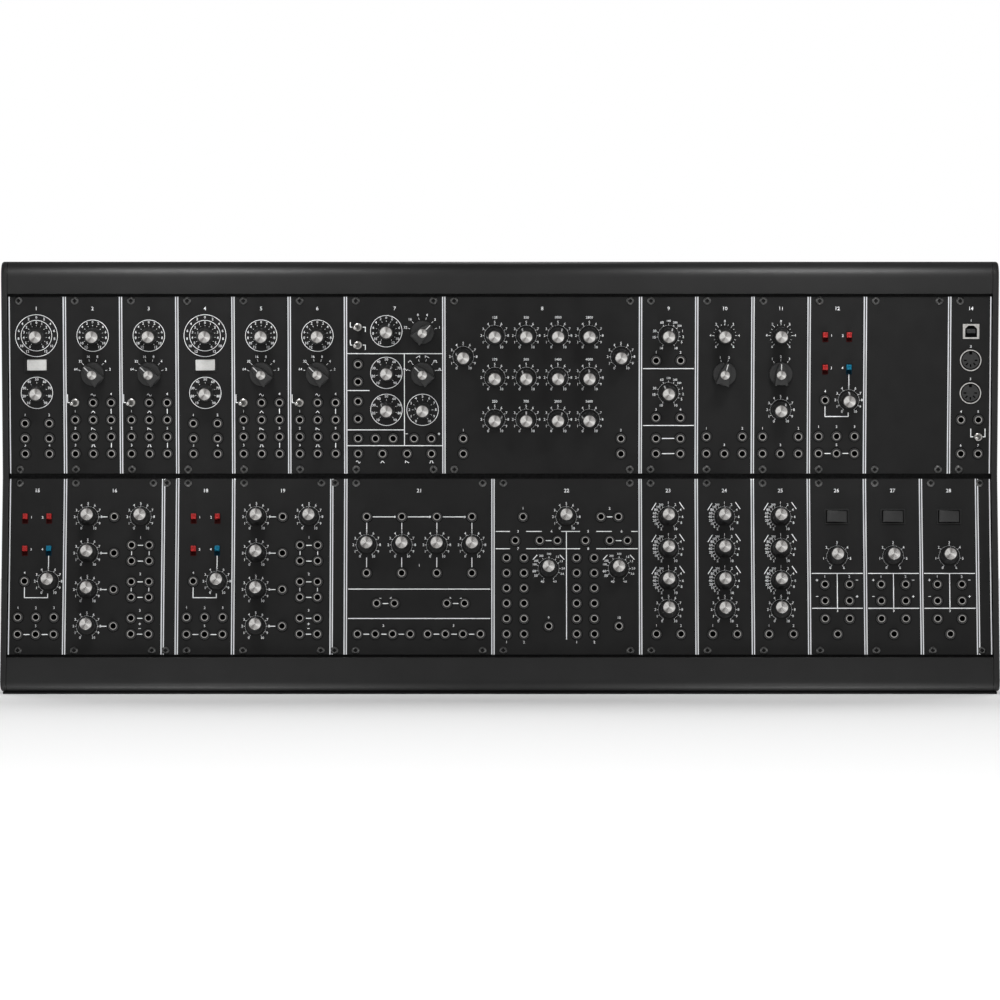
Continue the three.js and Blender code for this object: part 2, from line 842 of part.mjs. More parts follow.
const lowerModules = [
  {
    name: 'oscillator_controller_1', units: 8, shares: controllerShares,
    moving: [['controller_slide', 'redSlides', 0]],
  },
  {
    name: 'mixer_1', units: 14, shares: mixerShares,
    moving: [['mixer_master_knob', 'knobs', 0, 0]],
  },
  { name: 'narrow_blank_panel_1', units: 2, shares: {} },
  { name: 'oscillator_controller_2', units: 8, shares: controllerShares },
  { name: 'mixer_2', units: 14, shares: mixerShares },
  { name: 'narrow_blank_panel_2', units: 2, shares: {} },
  {
    name: 'attenuator_panel', units: 21, shares: attenuatorShares,
    moving: [['attenuator_knob', 'knobs', 0, 0]],
  },
  {
    name: 'trigger_interface', units: 21, shares: triggerShares,
    moving: [['trigger_sensitivity_knob', 'knobs', 0, 0]],
  },
  {
    name: 'envelope_1', units: 8, shares: envelopeShares,
    moving: [['envelope_attack_knob', 'knobs', 0, 0]],
  },
  { name: 'envelope_2', units: 8, shares: envelopeShares },
  { name: 'envelope_3', units: 8, shares: envelopeShares },
  {
    name: 'amplifier_1', units: 8, shares: amplifierShares,
    moving: [['amplifier_response_rocker', 'blackRockers', 0], ['amplifier_gain_knob', 'knobs', 0, 0]],
  },
  { name: 'amplifier_2', units: 8, shares: amplifierShares },
  { name: 'amplifier_3', units: 8, shares: amplifierShares },
  { name: 'narrow_blank_panel_3', units: 2, shares: {} },
];

// Every place of one kind on a module, single ones first and then its grid
function places(shares, kind) {
  const singles = shares[kind] || [];
  const grid = [];
  const columns = shares[kind.replace(/s$/, 'Columns')] || [];
  const lines = shares[kind.replace(/s$/, 'Rows')] || [];
  for (const line of lines) {
    for (const column of columns) {
      grid.push([column, line]);
    }
  }
  return [...singles, ...grid];
}

// What each kind of control adds to its module: fused where it stays with the panel, and otherwise
// the seat that carries the separate piece. The separate pieces stand in looseKinds.
const whiteSeat = rockerPocket(whiteRockerLength, whiteRockerWidth);
const blackSeat = rockerPocket(blackRockerLength, blackRockerWidth);
const pressed = THREE.MathUtils.radToDeg(rockerSwing);
const thrown = THREE.MathUtils.radToDeg(leverSwing);
const fixedKinds = {
  jacks: () => ({ recess: jackRecess(), add: jackInsert() }),
  knobs: () => ({ add: fixedKnob() }),
  selectors: () => ({ add: selector(-panelThickness / 2) }),
  toggles: () => ({ add: bushing().add(lever().rotate([0, 0, -thrown])) }),
  redSlides: () => ({ add: slideCapSolid() }),
  blueSlides: () => ({ add: slideCapSolid() }),
  whiteRockers: () => ({ add: rocker(whiteRockerLength, whiteRockerWidth).rotate([0, 0, pressed]) }),
  blackRockers: () => ({ add: rocker(blackRockerLength, blackRockerWidth).rotate([0, 0, pressed]) }),
  usbSockets: () => usbSocket(),
  dinSockets: () => dinSocket(),
};
const seatKinds = {
  knobs: () => ({ add: shaft() }),
  selectors: () => ({ add: shaft() }),
  toggles: () => ({ add: bushing(), cut: bushingCut() }),
  redSlides: () => ({ cut: slideSlot() }),
  blueSlides: () => ({ cut: slideSlot() }),
  whiteRockers: () => whiteSeat,
  blackRockers: () => blackSeat,
};
const looseKinds = {
  knobs: () => looseKnob(),
  selectors: () => selector(knobLift).subtract(shaftBore()),
  toggles: () => lever(),
  redSlides: () => slideCapSolid(),
  blueSlides: () => slideCapSolid(),
  whiteRockers: () => rocker(whiteRockerLength, whiteRockerWidth),
  blackRockers: () => rocker(blackRockerLength, blackRockerWidth),
};

// Finishes
const finishes = {
  case: new THREE.MeshStandardMaterial({ color: 0x2b2b2d, roughness: 0.55, metalness: 0.1 }),
  panel: new THREE.MeshStandardMaterial({ color: 0x222223, roughness: 0.6, metalness: 0.1 }),
  rail: new THREE.MeshStandardMaterial({ color: 0x3a3a3c, roughness: 0.5, metalness: 0.7 }),
  board: new THREE.MeshStandardMaterial({ color: 0x1f4a2c, roughness: 0.5, metalness: 0 }),
  knobs: new THREE.MeshStandardMaterial({ color: 0x1b1b1c, roughness: 0.4, metalness: 0 }),
  selectors: new THREE.MeshStandardMaterial({ color: 0x1b1b1c, roughness: 0.4, metalness: 0 }),
  toggles: new THREE.MeshStandardMaterial({ color: 0xc9c6c0, roughness: 0.25, metalness: 1 }),
  redSlides: new THREE.MeshStandardMaterial({ color: 0xc82828, roughness: 0.4, metalness: 0 }),
  blueSlides: new THREE.MeshStandardMaterial({ color: 0x0a96be, roughness: 0.4, metalness: 0 }),
  whiteRockers: new THREE.MeshStandardMaterial({ color: 0xdcdcd8, roughness: 0.35, metalness: 0 }),
  blackRockers: new THREE.MeshStandardMaterial({ color: 0x18181a, roughness: 0.35, metalness: 0 }),
};

function piece(name, solid, finish) {
  const mesh = new THREE.Mesh(toGeometry(solid), finishes[finish].clone());
  mesh.name = name;
  return mesh;
}

// Circuit board behind a panel, carried by the control bodies between them
function moduleBoard(width) {
  const front = panelThickness + boardStandoff;
  const low = boardEndInset;
  const high = panelHeight - boardEndInset;
  const board = block(
    [boardSideInset, front, low],
    [width - boardSideInset, front + boardThickness, high],
  );
  const stud = block(
    [width / 2 - boardStud / 2, panelThickness / 2, low],
    [width / 2 + boardStud / 2, front, low + boardStudHeight],
  );
  return board.add(stud);
}

function moduleSolid(module, width) {
  let solid = block(
    [panelSideGap / 2, 0, 0],
    [width - panelSideGap / 2, panelThickness, panelHeight],
  );
  if (Object.keys(module.shares).length > 0) {
    solid = solid.add(moduleBoard(width));
  }
  const recesses = [];
  const added = [];
  const cuts = [];
  const loose = new Set((module.moving || []).map(([, kind, index]) => `${kind} ${index}`));
  for (const kind of Object.keys(fixedKinds)) {
    places(module.shares, kind).forEach(([x, fromTop], index) => {
      const makers = loose.has(`${kind} ${index}`) ? seatKinds : fixedKinds;
      const { recess, add, cut } = makers[kind]();
      const at = [x * width, 0, (1 - fromTop) * panelHeight];
      if (recess) {
        recesses.push(recess.translate(at));
      }
      if (add) {
        added.push(add.translate(at));
      }
      if (cut) {
        cuts.push(cut.translate(at));
      }
    });
  }
  if (recesses.length > 0) {
    solid = solid.subtract(joined(recesses));
  }
  if (added.length > 0) {
    solid = solid.add(joined(added));
  }
  if (cuts.length > 0) {
    solid = solid.subtract(joined(cuts));
  }
  return solid;
}

// A row of modules and their moving controls, in the row's own frame at the foot of its panels
function moduleRow(modules) {
  const row = new THREE.Group();
  let left = -rowLength / 2;
  for (const module of modules) {
    const width = module.units * panelPitch;
    const mesh = piece(module.name, moduleSolid(module, width), 'panel');
    mesh.position.set(left, 0, 0);
    row.add(mesh);
    for (const [name, kind, index, angle] of module.moving || []) {
      const [x, fromTop] = places(module.shares, kind)[index];
      const control = piece(name, looseKinds[kind](), kind);
      control.position.set(left + x * width, 0, (1 - fromTop) * panelHeight);
      if (kind === 'knobs' || kind === 'selectors') {
        control.rotation.y = THREE.MathUtils.degToRad(angle);
      }
      if (kind === 'toggles') {
        control.rotation.z = -leverSwing;
      }
      if (kind.endsWith('Rockers')) {
        control.rotation.z = rockerSwing;
      }
      row.add(control);
    }
    left += width;
  }
  return row;
}

const group = new THREE.Group();
group.add(piece('case_shell', caseShell(), 'case'));

const rightCheek = piece('right_cheek', cheek(), 'case');
rightCheek.position.x = shellLength / 2 + seatGap;
group.add(rightCheek);

const leftCheek = piece('left_cheek', cheek().mirror([1, 0, 0]), 'case');
leftCheek.position.x = -shellLength / 2 - seatGap;
group.add(leftCheek);

group.add(piece('upper_rail', endRail(rows.upper), 'rail'));
group.add(piece('centre_rail', centreRail(), 'rail'));
group.add(piece('lower_rail', endRail(rows.lower), 'rail'));
group.add(piece('power_board', powerBoard(), 'board'));
group.add(piece('power_entry', powerEntry(), 'case'));

const powerSwitch = piece('power_switch', rocker(powerRockerLength, powerRockerWidth), 'blackRockers');
powerSwitch.position.set(switchX, rearDepth + bezelProud, entryRise);
powerSwitch.rotation.z = Math.PI + rockerSwing;
group.add(powerSwitch);

const upperFoot = rowPoint(rows.upper, rowGap / 2, 0);
const upperRow = moduleRow(upperModules);
upperRow.position.set(0, upperFoot.x, upperFoot.y);
upperRow.rotation.x = upperTilt;
group.add(upperRow);

const lowerFoot = rowPoint(rows.lower, panelEnd, 0);
const lowerRow = moduleRow(lowerModules);
lowerRow.position.set(0, lowerFoot.x, lowerFoot.y);
lowerRow.rotation.x = -lowerTilt;
group.add(lowerRow);

// Centred on its footprint
group.updateMatrixWorld(true);
const reach = new THREE.Box3().setFromObject(group, true);
const centre = reach.getCenter(new THREE.Vector3());
group.position.set(-centre.x, -centre.y, -reach.min.z);
group.updateMatrixWorld(true);

export default group;
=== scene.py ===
import json
import math

import bmesh
import bpy
from mathutils import Matrix, Vector

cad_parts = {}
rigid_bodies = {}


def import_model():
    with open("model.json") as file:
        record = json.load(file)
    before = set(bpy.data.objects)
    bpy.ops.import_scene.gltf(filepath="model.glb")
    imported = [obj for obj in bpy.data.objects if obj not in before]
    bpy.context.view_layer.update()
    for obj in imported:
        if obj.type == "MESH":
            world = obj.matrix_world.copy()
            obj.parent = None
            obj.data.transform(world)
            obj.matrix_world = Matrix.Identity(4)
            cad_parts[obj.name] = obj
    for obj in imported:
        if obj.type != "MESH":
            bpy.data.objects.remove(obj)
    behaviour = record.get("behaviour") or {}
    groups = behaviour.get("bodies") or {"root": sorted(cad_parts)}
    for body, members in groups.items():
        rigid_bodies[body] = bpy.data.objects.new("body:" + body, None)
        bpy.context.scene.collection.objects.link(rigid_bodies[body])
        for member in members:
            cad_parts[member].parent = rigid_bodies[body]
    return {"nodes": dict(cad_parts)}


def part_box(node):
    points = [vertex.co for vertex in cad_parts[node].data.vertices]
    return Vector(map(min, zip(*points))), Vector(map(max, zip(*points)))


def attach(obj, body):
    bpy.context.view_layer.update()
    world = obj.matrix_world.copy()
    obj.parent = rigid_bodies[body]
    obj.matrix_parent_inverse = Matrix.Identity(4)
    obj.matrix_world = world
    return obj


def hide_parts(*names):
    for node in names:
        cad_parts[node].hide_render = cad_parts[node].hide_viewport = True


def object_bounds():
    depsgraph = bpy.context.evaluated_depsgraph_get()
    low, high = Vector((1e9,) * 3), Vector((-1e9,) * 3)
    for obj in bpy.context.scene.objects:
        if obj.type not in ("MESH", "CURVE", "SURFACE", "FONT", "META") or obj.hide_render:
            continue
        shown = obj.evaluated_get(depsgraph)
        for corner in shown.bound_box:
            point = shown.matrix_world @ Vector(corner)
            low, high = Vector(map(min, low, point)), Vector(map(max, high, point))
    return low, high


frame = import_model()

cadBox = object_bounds()
print("frame loaded:", len(frame["nodes"]), "nodes")

# Everything is drawn in millimetres, flat on its panel: x to the right, y up, z out of the panel.
# The row matrices stand each drawing up in the case, in metres.
toMetres = Matrix.Scale(0.001, 4)
standUp = Matrix.Rotation(math.radians(90), 4, "X")

caseSettings = {
    "panelPitch": 5.08,
    "panelHeight": 128.5,
    "panelThickness": 2,
    "panelSideGap": 0.3,
    "rowGap": 3.9,
    "upperTilt": 6,
    "lowerTilt": 9,
    "topFascia": 23.77,
    "baseFascia": 27.035,
    "footRise": 2,
    "fasciaGap": 2.2,
    "fasciaProud": 3,
    "rearDepth": 75,
    "sheet": 1.5,
    "lipDepth": 10,
    "topBend": 11,
    "baseBend": 8,
    "rearBend": 4,
    "lipBend": 0.8,
    "rowPitches": 140,
    "rowEndGap": 0.35,
    "cheekThickness": 4.4,
    "cheekRim": 2,
    "seatGap": 0.3,
}


# Selecting, editing and finishing meshes

def valuesOf(settings, names):
    return [settings[name] for name in names.split()]


def named(name):
    bpy.context.object.name = name
    return bpy.context.object


def activate(*pieces):
    bpy.ops.object.select_all(action="DESELECT")
    for piece in pieces:
        piece.select_set(True)
    bpy.context.view_layer.objects.active = pieces[0]


def selectAll():
    bpy.ops.mesh.select_all(action="SELECT")


def startEdit(piece):
    activate(piece)
    bpy.ops.object.mode_set(mode="EDIT")
    bpy.ops.mesh.select_mode(type="VERT")
    selectAll()


def endEdit(turnOut=False):
    if turnOut:
        selectAll()
        bpy.ops.mesh.normals_make_consistent(inside=False)
    bpy.ops.object.mode_set(mode="OBJECT")


def pick(piece, kind, test):
    bpy.ops.mesh.select_mode(type=kind)
    bpy.ops.mesh.select_all(action="DESELECT")
    drawn = bmesh.from_edit_mesh(piece.data)
    for element in drawn.faces if kind == "FACE" else drawn.edges:
        element.select_set(test(element))
    bmesh.update_edit_mesh(piece.data)


def pickFaces(piece, test):
    pick(piece, "FACE", lambda face: test(face.calc_center_median(), face.normal))


def pickEdges(piece, test):
    pick(piece, "EDGE", lambda edge: all(test(corner.co) for corner in edge.verts))


def pickTop(piece):
    pickFaces(piece, lambda centre, normal: normal.z > 0.9)


def extrude(x=0, y=0, z=0):
    bpy.ops.mesh.extrude_region_move(TRANSFORM_OT_translate={"value": (x, y, z)})


def bevelEdges(width, segments):
    bpy.ops.mesh.bevel(offset=width, segments=segments, profile=0.5, affect="EDGES")


# Each step insets the top face, then moves what is left of it up or down
def stepTop(piece, *steps):
    startEdit(piece)
    pickTop(piece)
    for rim, rise in steps:
        bpy.ops.mesh.inset(thickness=rim)
        if rise:
            extrude(z=rise)
    endEdit()


def applyModifier(piece, kind, **values):
    activate(piece)
    modifier = piece.modifiers.new(kind.title(), kind)
    for name, value in values.items():
        setattr(modifier, name, value)
    bpy.ops.object.modifier_apply(modifier=modifier.name)


def roundEdges(piece, width, segments=2, angle=40):
    applyModifier(
        piece, "BEVEL", width=width, segments=segments, limit_method="ANGLE",
        angle_limit=math.radians(angle), harden_normals=False,
    )


# Gives a piece its finishes, and smooth shading up to an angle
def dress(piece, *names, angle=0):
    piece.data.materials.clear()
    for name in names:
        piece.data.materials.append(finishes[name])
    if angle:
        activate(piece)
        bpy.ops.object.shade_smooth_by_angle(angle=math.radians(angle))


def paintFaces(piece, index, test):
    for polygon in piece.data.polygons:
        if test(polygon.center, polygon.normal):
            polygon.material_index = index


def moveMesh(piece, matrix):
    piece.data.transform(matrix)
    piece.data.update()


def copyTo(master, matrix):
    piece = master.copy()
    piece.data = master.data.copy()
    bpy.context.collection.objects.link(piece)
    moveMesh(piece, matrix)
    return piece


def joinPieces(name, parts):
    activate(*parts)
    if len(parts) > 1:
        bpy.ops.object.join()
    piece = named(name)
    piece.data.name = name
    return piece


def settle(name, parts, node=None, body="case"):
    piece = joinPieces(name, parts)
    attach(piece, body)
    if node:
        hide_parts(node)


# Turned from steps of radius and height: the first two make a cylinder, the rest extrude its top face
def turnedPiece(name, sides, steps, turn=0):
    size, root = steps[0]
    level = steps[1][1]
    bpy.ops.mesh.primitive_cylinder_add(
        vertices=sides, radius=size, depth=level - root,
        location=(0, 0, (level + root) / 2), rotation=(0, 0, math.radians(turn)),
    )
    piece = named(name)
    bpy.ops.object.transform_apply(location=True, rotation=True, scale=False)
    startEdit(piece)
    pickTop(piece)
    for index, (radius, height) in enumerate(steps[1:]):
        if index:
            extrude(z=height - level)
        if radius != size:
            share = radius / size
            bpy.ops.transform.resize(value=(share, share, 1), center_override=(0, 0, height))
        size, level = radius, height
    endEdit()
    return piece


def boxPiece(name, low, high):
    size = [high[i] - low[i] for i in range(3)]
    centre = [(high[i] + low[i]) / 2 for i in range(3)]
    bpy.ops.mesh.primitive_cube_add(size=1, location=centre, scale=size)
    bpy.ops.object.transform_apply(location=True, rotation=False, scale=True)
    return named(name)


# Leaves the path in edit mode, to be filled or extruded
def walkPath(name, corners):
    bpy.ops.mesh.primitive_plane_add(size=1, location=(0, 0, 0))
    piece = named(name)
    startEdit(piece)
    bpy.ops.mesh.merge(type="CENTER")
    selectAll()
    bpy.ops.transform.translate(value=corners[0])
    for before, after in zip(corners, corners[1:]):
        extrude(*(Vector(after) - Vector(before)))
    selectAll()
    return piece


def outlinePiece(name, outline, low, high):
    piece = walkPath(name, [(x, y, low) for x, y in outline])
    bpy.ops.mesh.edge_face_add()
    extrude(z=high - low)
    endEdit(turnOut=True)
    return piece


def cutWith(piece, cutter):
    applyModifier(piece, "BOOLEAN", operation="DIFFERENCE", object=cutter, solver="EXACT")
    bpy.data.objects.remove(cutter)


def flatUv(piece):
    layer = piece.data.uv_layers.active or piece.data.uv_layers.new(name="UVMap")
    for loop in piece.data.loops:
        layer.data[loop.index].uv = piece.data.vertices[loop.vertex_index].co.xy


# Finishes: a tone is one grey level or a colour

def rgba(tone):
    return (*tone, 1) if isinstance(tone, tuple) else (tone, tone, tone, 1)


def addNode(tree, kind, inputs={}, **settings):
    node = tree.nodes.new("ShaderNode" + kind)
    for name, value in settings.items():
        setattr(node, name, value)
    for name, value in inputs.items():
        if isinstance(value, bpy.types.NodeSocket):
            tree.links.new(value, node.inputs[name])
        else:
            node.inputs[name].default_value = value
    return node


def maths(tree, operation, *inputs):
    return addNode(tree, "Math", dict(enumerate(inputs)), operation=operation).outputs[0]


def newFinish(name, tone, roughness, metallic=0, specular=0.5):
    material = bpy.data.materials.new(name)
    material.use_nodes = True
    shader = material.node_tree.nodes["Principled BSDF"]
    shader.inputs["Base Color"].default_value = rgba(tone)
    shader.inputs["Roughness"].default_value = roughness
    shader.inputs["Metallic"].default_value = metallic
    shader.inputs["Specular IOR Level"].default_value = specular
    return material, material.node_tree, shader


def noise(tree, scale, detail, stretch=None):
    place = addNode(tree, "TexCoord").outputs["Object"]
    if stretch:
        place = addNode(tree, "Mapping", {"Vector": place, "Scale": stretch}).outputs["Vector"]
    return addNode(tree, "TexNoise", {"Vector": place, "Scale": scale, "Detail": detail}).outputs["Fac"]


def tint(tree, source, dark, light, shader, start=0.3, end=0.7):
    ramp = addNode(tree, "ValToRGB", {"Fac": source})
    for stop, position, tone in zip(ramp.color_ramp.elements, (start, end), (dark, light)):
        stop.position, stop.color = position, rgba(tone)
    tree.links.new(ramp.outputs["Color"], shader.inputs["Base Color"])


def spread(tree, source, low, high, shader):
    band = addNode(tree, "MapRange", {"Value": source, "To Min": low, "To Max": high})
    tree.links.new(band.outputs["Result"], shader.inputs["Roughness"])


def relief(tree, source, strength, distance, shader):
    bump = addNode(tree, "Bump", {"Height": source, "Strength": strength, "Distance": distance})
    tree.links.new(bump.outputs["Normal"], shader.inputs["Normal"])


# One grain gives the tones, roughness and relief, or a broader mottle gives the tones
def grainedFinish(name, dark, light, roughness, grain, detail=3, mottle=0, bump=None, stretch=None, **shine):
    material, tree, shader = newFinish(name, light, roughness[0], **shine)
    fine = noise(tree, grain, detail, stretch)
    tint(tree, noise(tree, mottle, 4) if mottle else fine, dark, light, shader)
    spread(tree, fine, *roughness, shader)
    if bump:
        relief(tree, fine, *bump, shader)
    return material


def plainPlastic(name, dark, light, roughness, specular=0.4):
    return grainedFinish(name, dark, light, (roughness - 0.06, roughness + 0.06), 700,
                         bump=(0.08, 0.00002), specular=specular)


def platedMetal(name, dark, light, roughness):
    return grainedFinish(name, dark, light, (roughness - 0.05, roughness + 0.08), 500, metallic=1)


# Waves round the centre paint the highlight sectors that a spun face reflects: sectors, phase, strength
spunAndSheenSettings = {
    "dark": (0.19, 0.18, 0.175),
    "light": (0.74, 0.73, 0.71),
    "sheenWaves": [(2, 0.9, 0.34), (5, 2.1, 0.14)],
    "grooves": 40,
    "roughness": (0.24, 0.36),
    "bump": (0.1, 0.00001),
}


def spunAluminium():
    values = spunAndSheenSettings
    material, tree, shader = newFinish("spunAluminium", values["light"], values["roughness"][0], metallic=1)
    place = addNode(tree, "UVMap").outputs["UV"]
    parts = addNode(tree, "SeparateXYZ", {"Vector": place}).outputs
    angle = maths(tree, "ARCTAN2", parts["Y"], parts["X"])
    level = 0.5
    # Each wave paints bright and dark highlight sectors into the cap's base colour; the grooves below are a
    # real bump
    for sectors, phase, strength in values["sheenWaves"]:
        wave = maths(tree, "COSINE", maths(tree, "MULTIPLY_ADD", angle, sectors, phase))
        level = maths(tree, "MULTIPLY_ADD", wave, strength, level)
    tint(tree, level, values["dark"], values["light"], shader, 0.05, 0.95)
    distance = addNode(tree, "VectorMath", {0: place}, operation="LENGTH").outputs["Value"]
    grooves = maths(tree, "SINE", maths(tree, "MULTIPLY", distance, values["grooves"]))
    spread(tree, grooves, *values["roughness"], shader)
    relief(tree, grooves, *values["bump"], shader)
    return material


finishes = {
    "coat": grainedFinish("powderCoat", 0.0048, 0.007, (0.4, 0.52), 1500, 2,
                          mottle=40, bump=(0.25, 0.00004), specular=0.32),
    "panel": grainedFinish("panelPaint", 0.006, 0.0084, (0.48, 0.64), 2200, 2,
                           mottle=60, bump=(0.2, 0.00002), specular=0.16),
    "ink": grainedFinish("silverInk", (0.66, 0.67, 0.68), (0.8, 0.81, 0.82), (0.4, 0.6), 900, 2, specular=0.3),
    "edge": grainedFinish("brushedEdge", (0.66, 0.67, 0.69), (0.86, 0.87, 0.89), (0.26, 0.42), 1, 2,
                          stretch=(2500, 40, 40), metallic=1),
    "cap": spunAluminium(),
    "knob": plainPlastic("knobPlastic", 0.008, 0.012, 0.42),
    "selector": plainPlastic("selectorPlastic", 0.01, 0.015, 0.45),
    "pointer": plainPlastic("pointerWhite", 0.36, 0.48, 0.5),
    "nut": plainPlastic("collarPlasticAndRecessShade", 0.01, 0.015, 0.34, 0.5),
    "ring": platedMetal("jackRing", (0.4, 0.39, 0.375), (0.66, 0.64, 0.62), 0.3),
    "bore": plainPlastic("boreBlackAndShade", 0.002, 0.003, 0.7, 0.1),
    "collar": platedMetal("collarSteel", (0.42, 0.41, 0.39), (0.6, 0.58, 0.56), 0.28),
    # Painted shade: a darker steel for the floor inside a toggle's bushing
    "recessShade": platedMetal("recessShadeSteel", (0.1, 0.1, 0.095), (0.17, 0.165, 0.16), 0.36),
    "lever": platedMetal("leverPlate", (0.42, 0.41, 0.4), (0.62, 0.61, 0.59), 0.24),
    "screw": platedMetal("blackNickel", (0.09, 0.09, 0.09), (0.22, 0.22, 0.215), 0.28),
    "white": plainPlastic("whitePlastic", (0.46, 0.46, 0.45), (0.53, 0.53, 0.515), 0.38),
    "black": plainPlastic("blackPlastic", 0.012, 0.017, 0.4),
    "bezel": plainPlastic("bezelPlastic", 0.009, 0.012, 0.5, 0.2),
    "red": plainPlastic("redPlastic", (0.3, 0.016, 0.016), (0.37, 0.022, 0.021), 0.4, 0.15),
    "redWell": plainPlastic("redWell", (0.024, 0.002, 0.002), (0.03, 0.003, 0.0025), 0.6, 0.05),
    "blue": plainPlastic("bluePlastic", (0.002, 0.125, 0.21), (0.003, 0.155, 0.26), 0.4, 0.15),
    "blueWell": plainPlastic("blueWell", (0.001, 0.013, 0.024), (0.001, 0.017, 0.03), 0.6, 0.05),
    "rubberAndGapShade": plainPlastic("footRubberAndGapShade", 0.004, 0.006, 0.8, 0.1),
    "rail": platedMetal("railAnodised", 0.006, 0.012, 0.45),
    "board": plainPlastic("solderMask", (0.008, 0.05, 0.02), (0.012, 0.07, 0.028), 0.4),
    "chip": plainPlastic("chipEpoxy", 0.01, 0.016, 0.5),
}
print("finishes ready:", len(finishes))


# Side view of the case, with the fold between the rows at (foldDepth, foldHeight)

def direction(turn, sign):
    return Vector((-math.sin(turn), sign * math.cos(turn)))


upperTurn = math.radians(caseSettings["upperTilt"])
lowerTurn = math.radians(caseSettings["lowerTilt"])
panelEnd = caseSettings["rowGap"] / 2 + caseSettings["panelHeight"]
fasciaStart = panelEnd + caseSettings["fasciaGap"]
baseReach = caseSettings["baseFascia"] - caseSettings["footRise"] / math.cos(lowerTurn)
foldHeight = (
    math.cos(lowerTurn) * (fasciaStart + caseSettings["baseFascia"])
    - math.sin(lowerTurn) * caseSettings["fasciaProud"]
)
rowLines = {
    "upper": (direction(upperTurn, 1), Vector((math.cos(upperTurn), math.sin(upperTurn)))),
    "lower": (direction(lowerTurn, -1), Vector((math.cos(lowerTurn), -math.sin(lowerTurn)))),
}
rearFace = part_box("case_shell")[1].y * 1000
foldDepth = rearFace - caseSettings["rearDepth"]
rowLength = caseSettings["rowPitches"] * caseSettings["panelPitch"]
shellLength = rowLength + caseSettings["rowEndGap"]


def sidePoint(row, distance, depth):
    along, inward = rowLines[row]
    spot = Vector((foldDepth, foldHeight)) + along * distance + inward * depth
    return (0, spot.x, spot.y)


def rowMatrix(row, distance, turn):
    foot = Vector(sidePoint(row, distance, 0)) + Vector((-rowLength / 2, 0, 0))
    return toMetres @ Matrix.Translation(foot) @ Matrix.Rotation(turn, 4, "X") @ standUp


rowMatrices = {
    "upper": rowMatrix("upper", caseSettings["rowGap"] / 2, upperTurn),
    "lower": rowMatrix("lower", panelEnd, -lowerTurn),
}


# The case's outer corners from the top bend round the back to the base bend, and their bends

def outerCorners():
    proud, foot = valuesOf(caseSettings, "fasciaProud footRise")
    topFront = sidePoint("upper", fasciaStart + caseSettings["topFascia"], -proud)
    baseFront = sidePoint("lower", fasciaStart + baseReach, -proud)
    bends = valuesOf(caseSettings, "topBend rearBend rearBend baseBend")
    return [topFront, (0, rearFace, topFront[2]), (0, rearFace, foot), baseFront], bends


def bendCorners(piece, corners, bends):
    for i, radius in enumerate(bends):
        if radius == 0:
            continue
        corner, before, after = (Vector(corners[(i + step) % len(corners)]) for step in (0, -1, 1))
        pickEdges(piece, lambda end: abs(end.y - corner.y) < 0.01 and abs(end.z - corner.z) < 0.01)
        bevelEdges(radius / math.tan((before - corner).angle(after - corner) / 2), 8)


# Case shell: one bent sheet, walked along its side view, extruded, bent and thickened

def makeShell():
    proud, lip, lipBend = valuesOf(caseSettings, "fasciaProud lipDepth lipBend")
    corners, bends = outerCorners()
    lips = {row: [sidePoint(row, fasciaStart, depth - proud) for depth in (lip, 0)] for row in rowLines}
    corners = lips["upper"] + corners + lips["lower"][::-1]
    shell = walkPath("case_shell_skin", corners)
    bpy.ops.mesh.select_mode(type="EDGE")
    selectAll()
    extrude(shellLength)
    selectAll()
    bpy.ops.transform.translate(value=(-shellLength / 2, 0, 0))
    bendCorners(shell, corners, [0, lipBend] + bends + [lipBend, 0])
    endEdit(turnOut=True)
    if max(shell.data.polygons, key=lambda face: face.center.z).normal.z < 0:
        startEdit(shell)
        bpy.ops.mesh.flip_normals()
        endEdit()
    applyModifier(shell, "SOLIDIFY", thickness=caseSettings["sheet"], offset=-1, use_even_offset=True)
    return shell


def makeCheek(side):
    proud, outer, rim = valuesOf(caseSettings, "fasciaProud cheekThickness cheekRim")
    # The two fascia planes meet in front of the fold
    upperFold, upperWay = Vector(sidePoint("upper", 0, -proud)), rowLines["upper"][0]
    lowerFold, lowerWay = Vector(sidePoint("lower", 0, -proud)), rowLines["lower"][0]
    gap = (lowerFold - upperFold).yz
    share = gap.cross(lowerWay) / upperWay.cross(lowerWay)
    foldFront = upperFold + Vector((0, upperWay.x, upperWay.y)) * share
    corners, bends = outerCorners()
    corners = [tuple(foldFront)] + corners
    cheek = walkPath("cheek", corners)
    bpy.ops.mesh.edge_face_add()
    extrude(outer)
    bendCorners(cheek, corners, [0] + bends)
    pickEdges(cheek, lambda end: end.x > outer - 0.01)
    bevelEdges(rim, 4)
    endEdit(turnOut=True)
    place = Matrix.Translation((shellLength / 2 + caseSettings["seatGap"], 0, 0))
    if side < 0:
        place = Matrix.Scale(-1, 4, (1, 0, 0)) @ place
    moveMesh(cheek, place)
    if side < 0:
        startEdit(cheek)
        bpy.ops.mesh.remove_doubles(threshold=0.0001)
        endEdit(turnOut=True)
    dress(cheek, "coat", angle=30)
    moveMesh(cheek, toMetres)
    return cheek


# Rocker switches, slide switches, toggles, knobs, selectors and jacks

rockerSettings = {
    "whiteRockers": (14.2, 7.8),
    "blackRockers": (14.9, 8.3),
    "powerRocker": (17.4, 11),
    "proud": 2.3,
    "drop": 0.9,
    "flat": 0.64,
    "root": 3,
    "taper": 1,
    "gap": 0.4,
    "tilt": 8,
    "pocket": 4.4,
    "round": 0.3,
    "bezelProud": 0.8,
    "bezelWidth": 1,
    "bezelRound": 0.25,
}


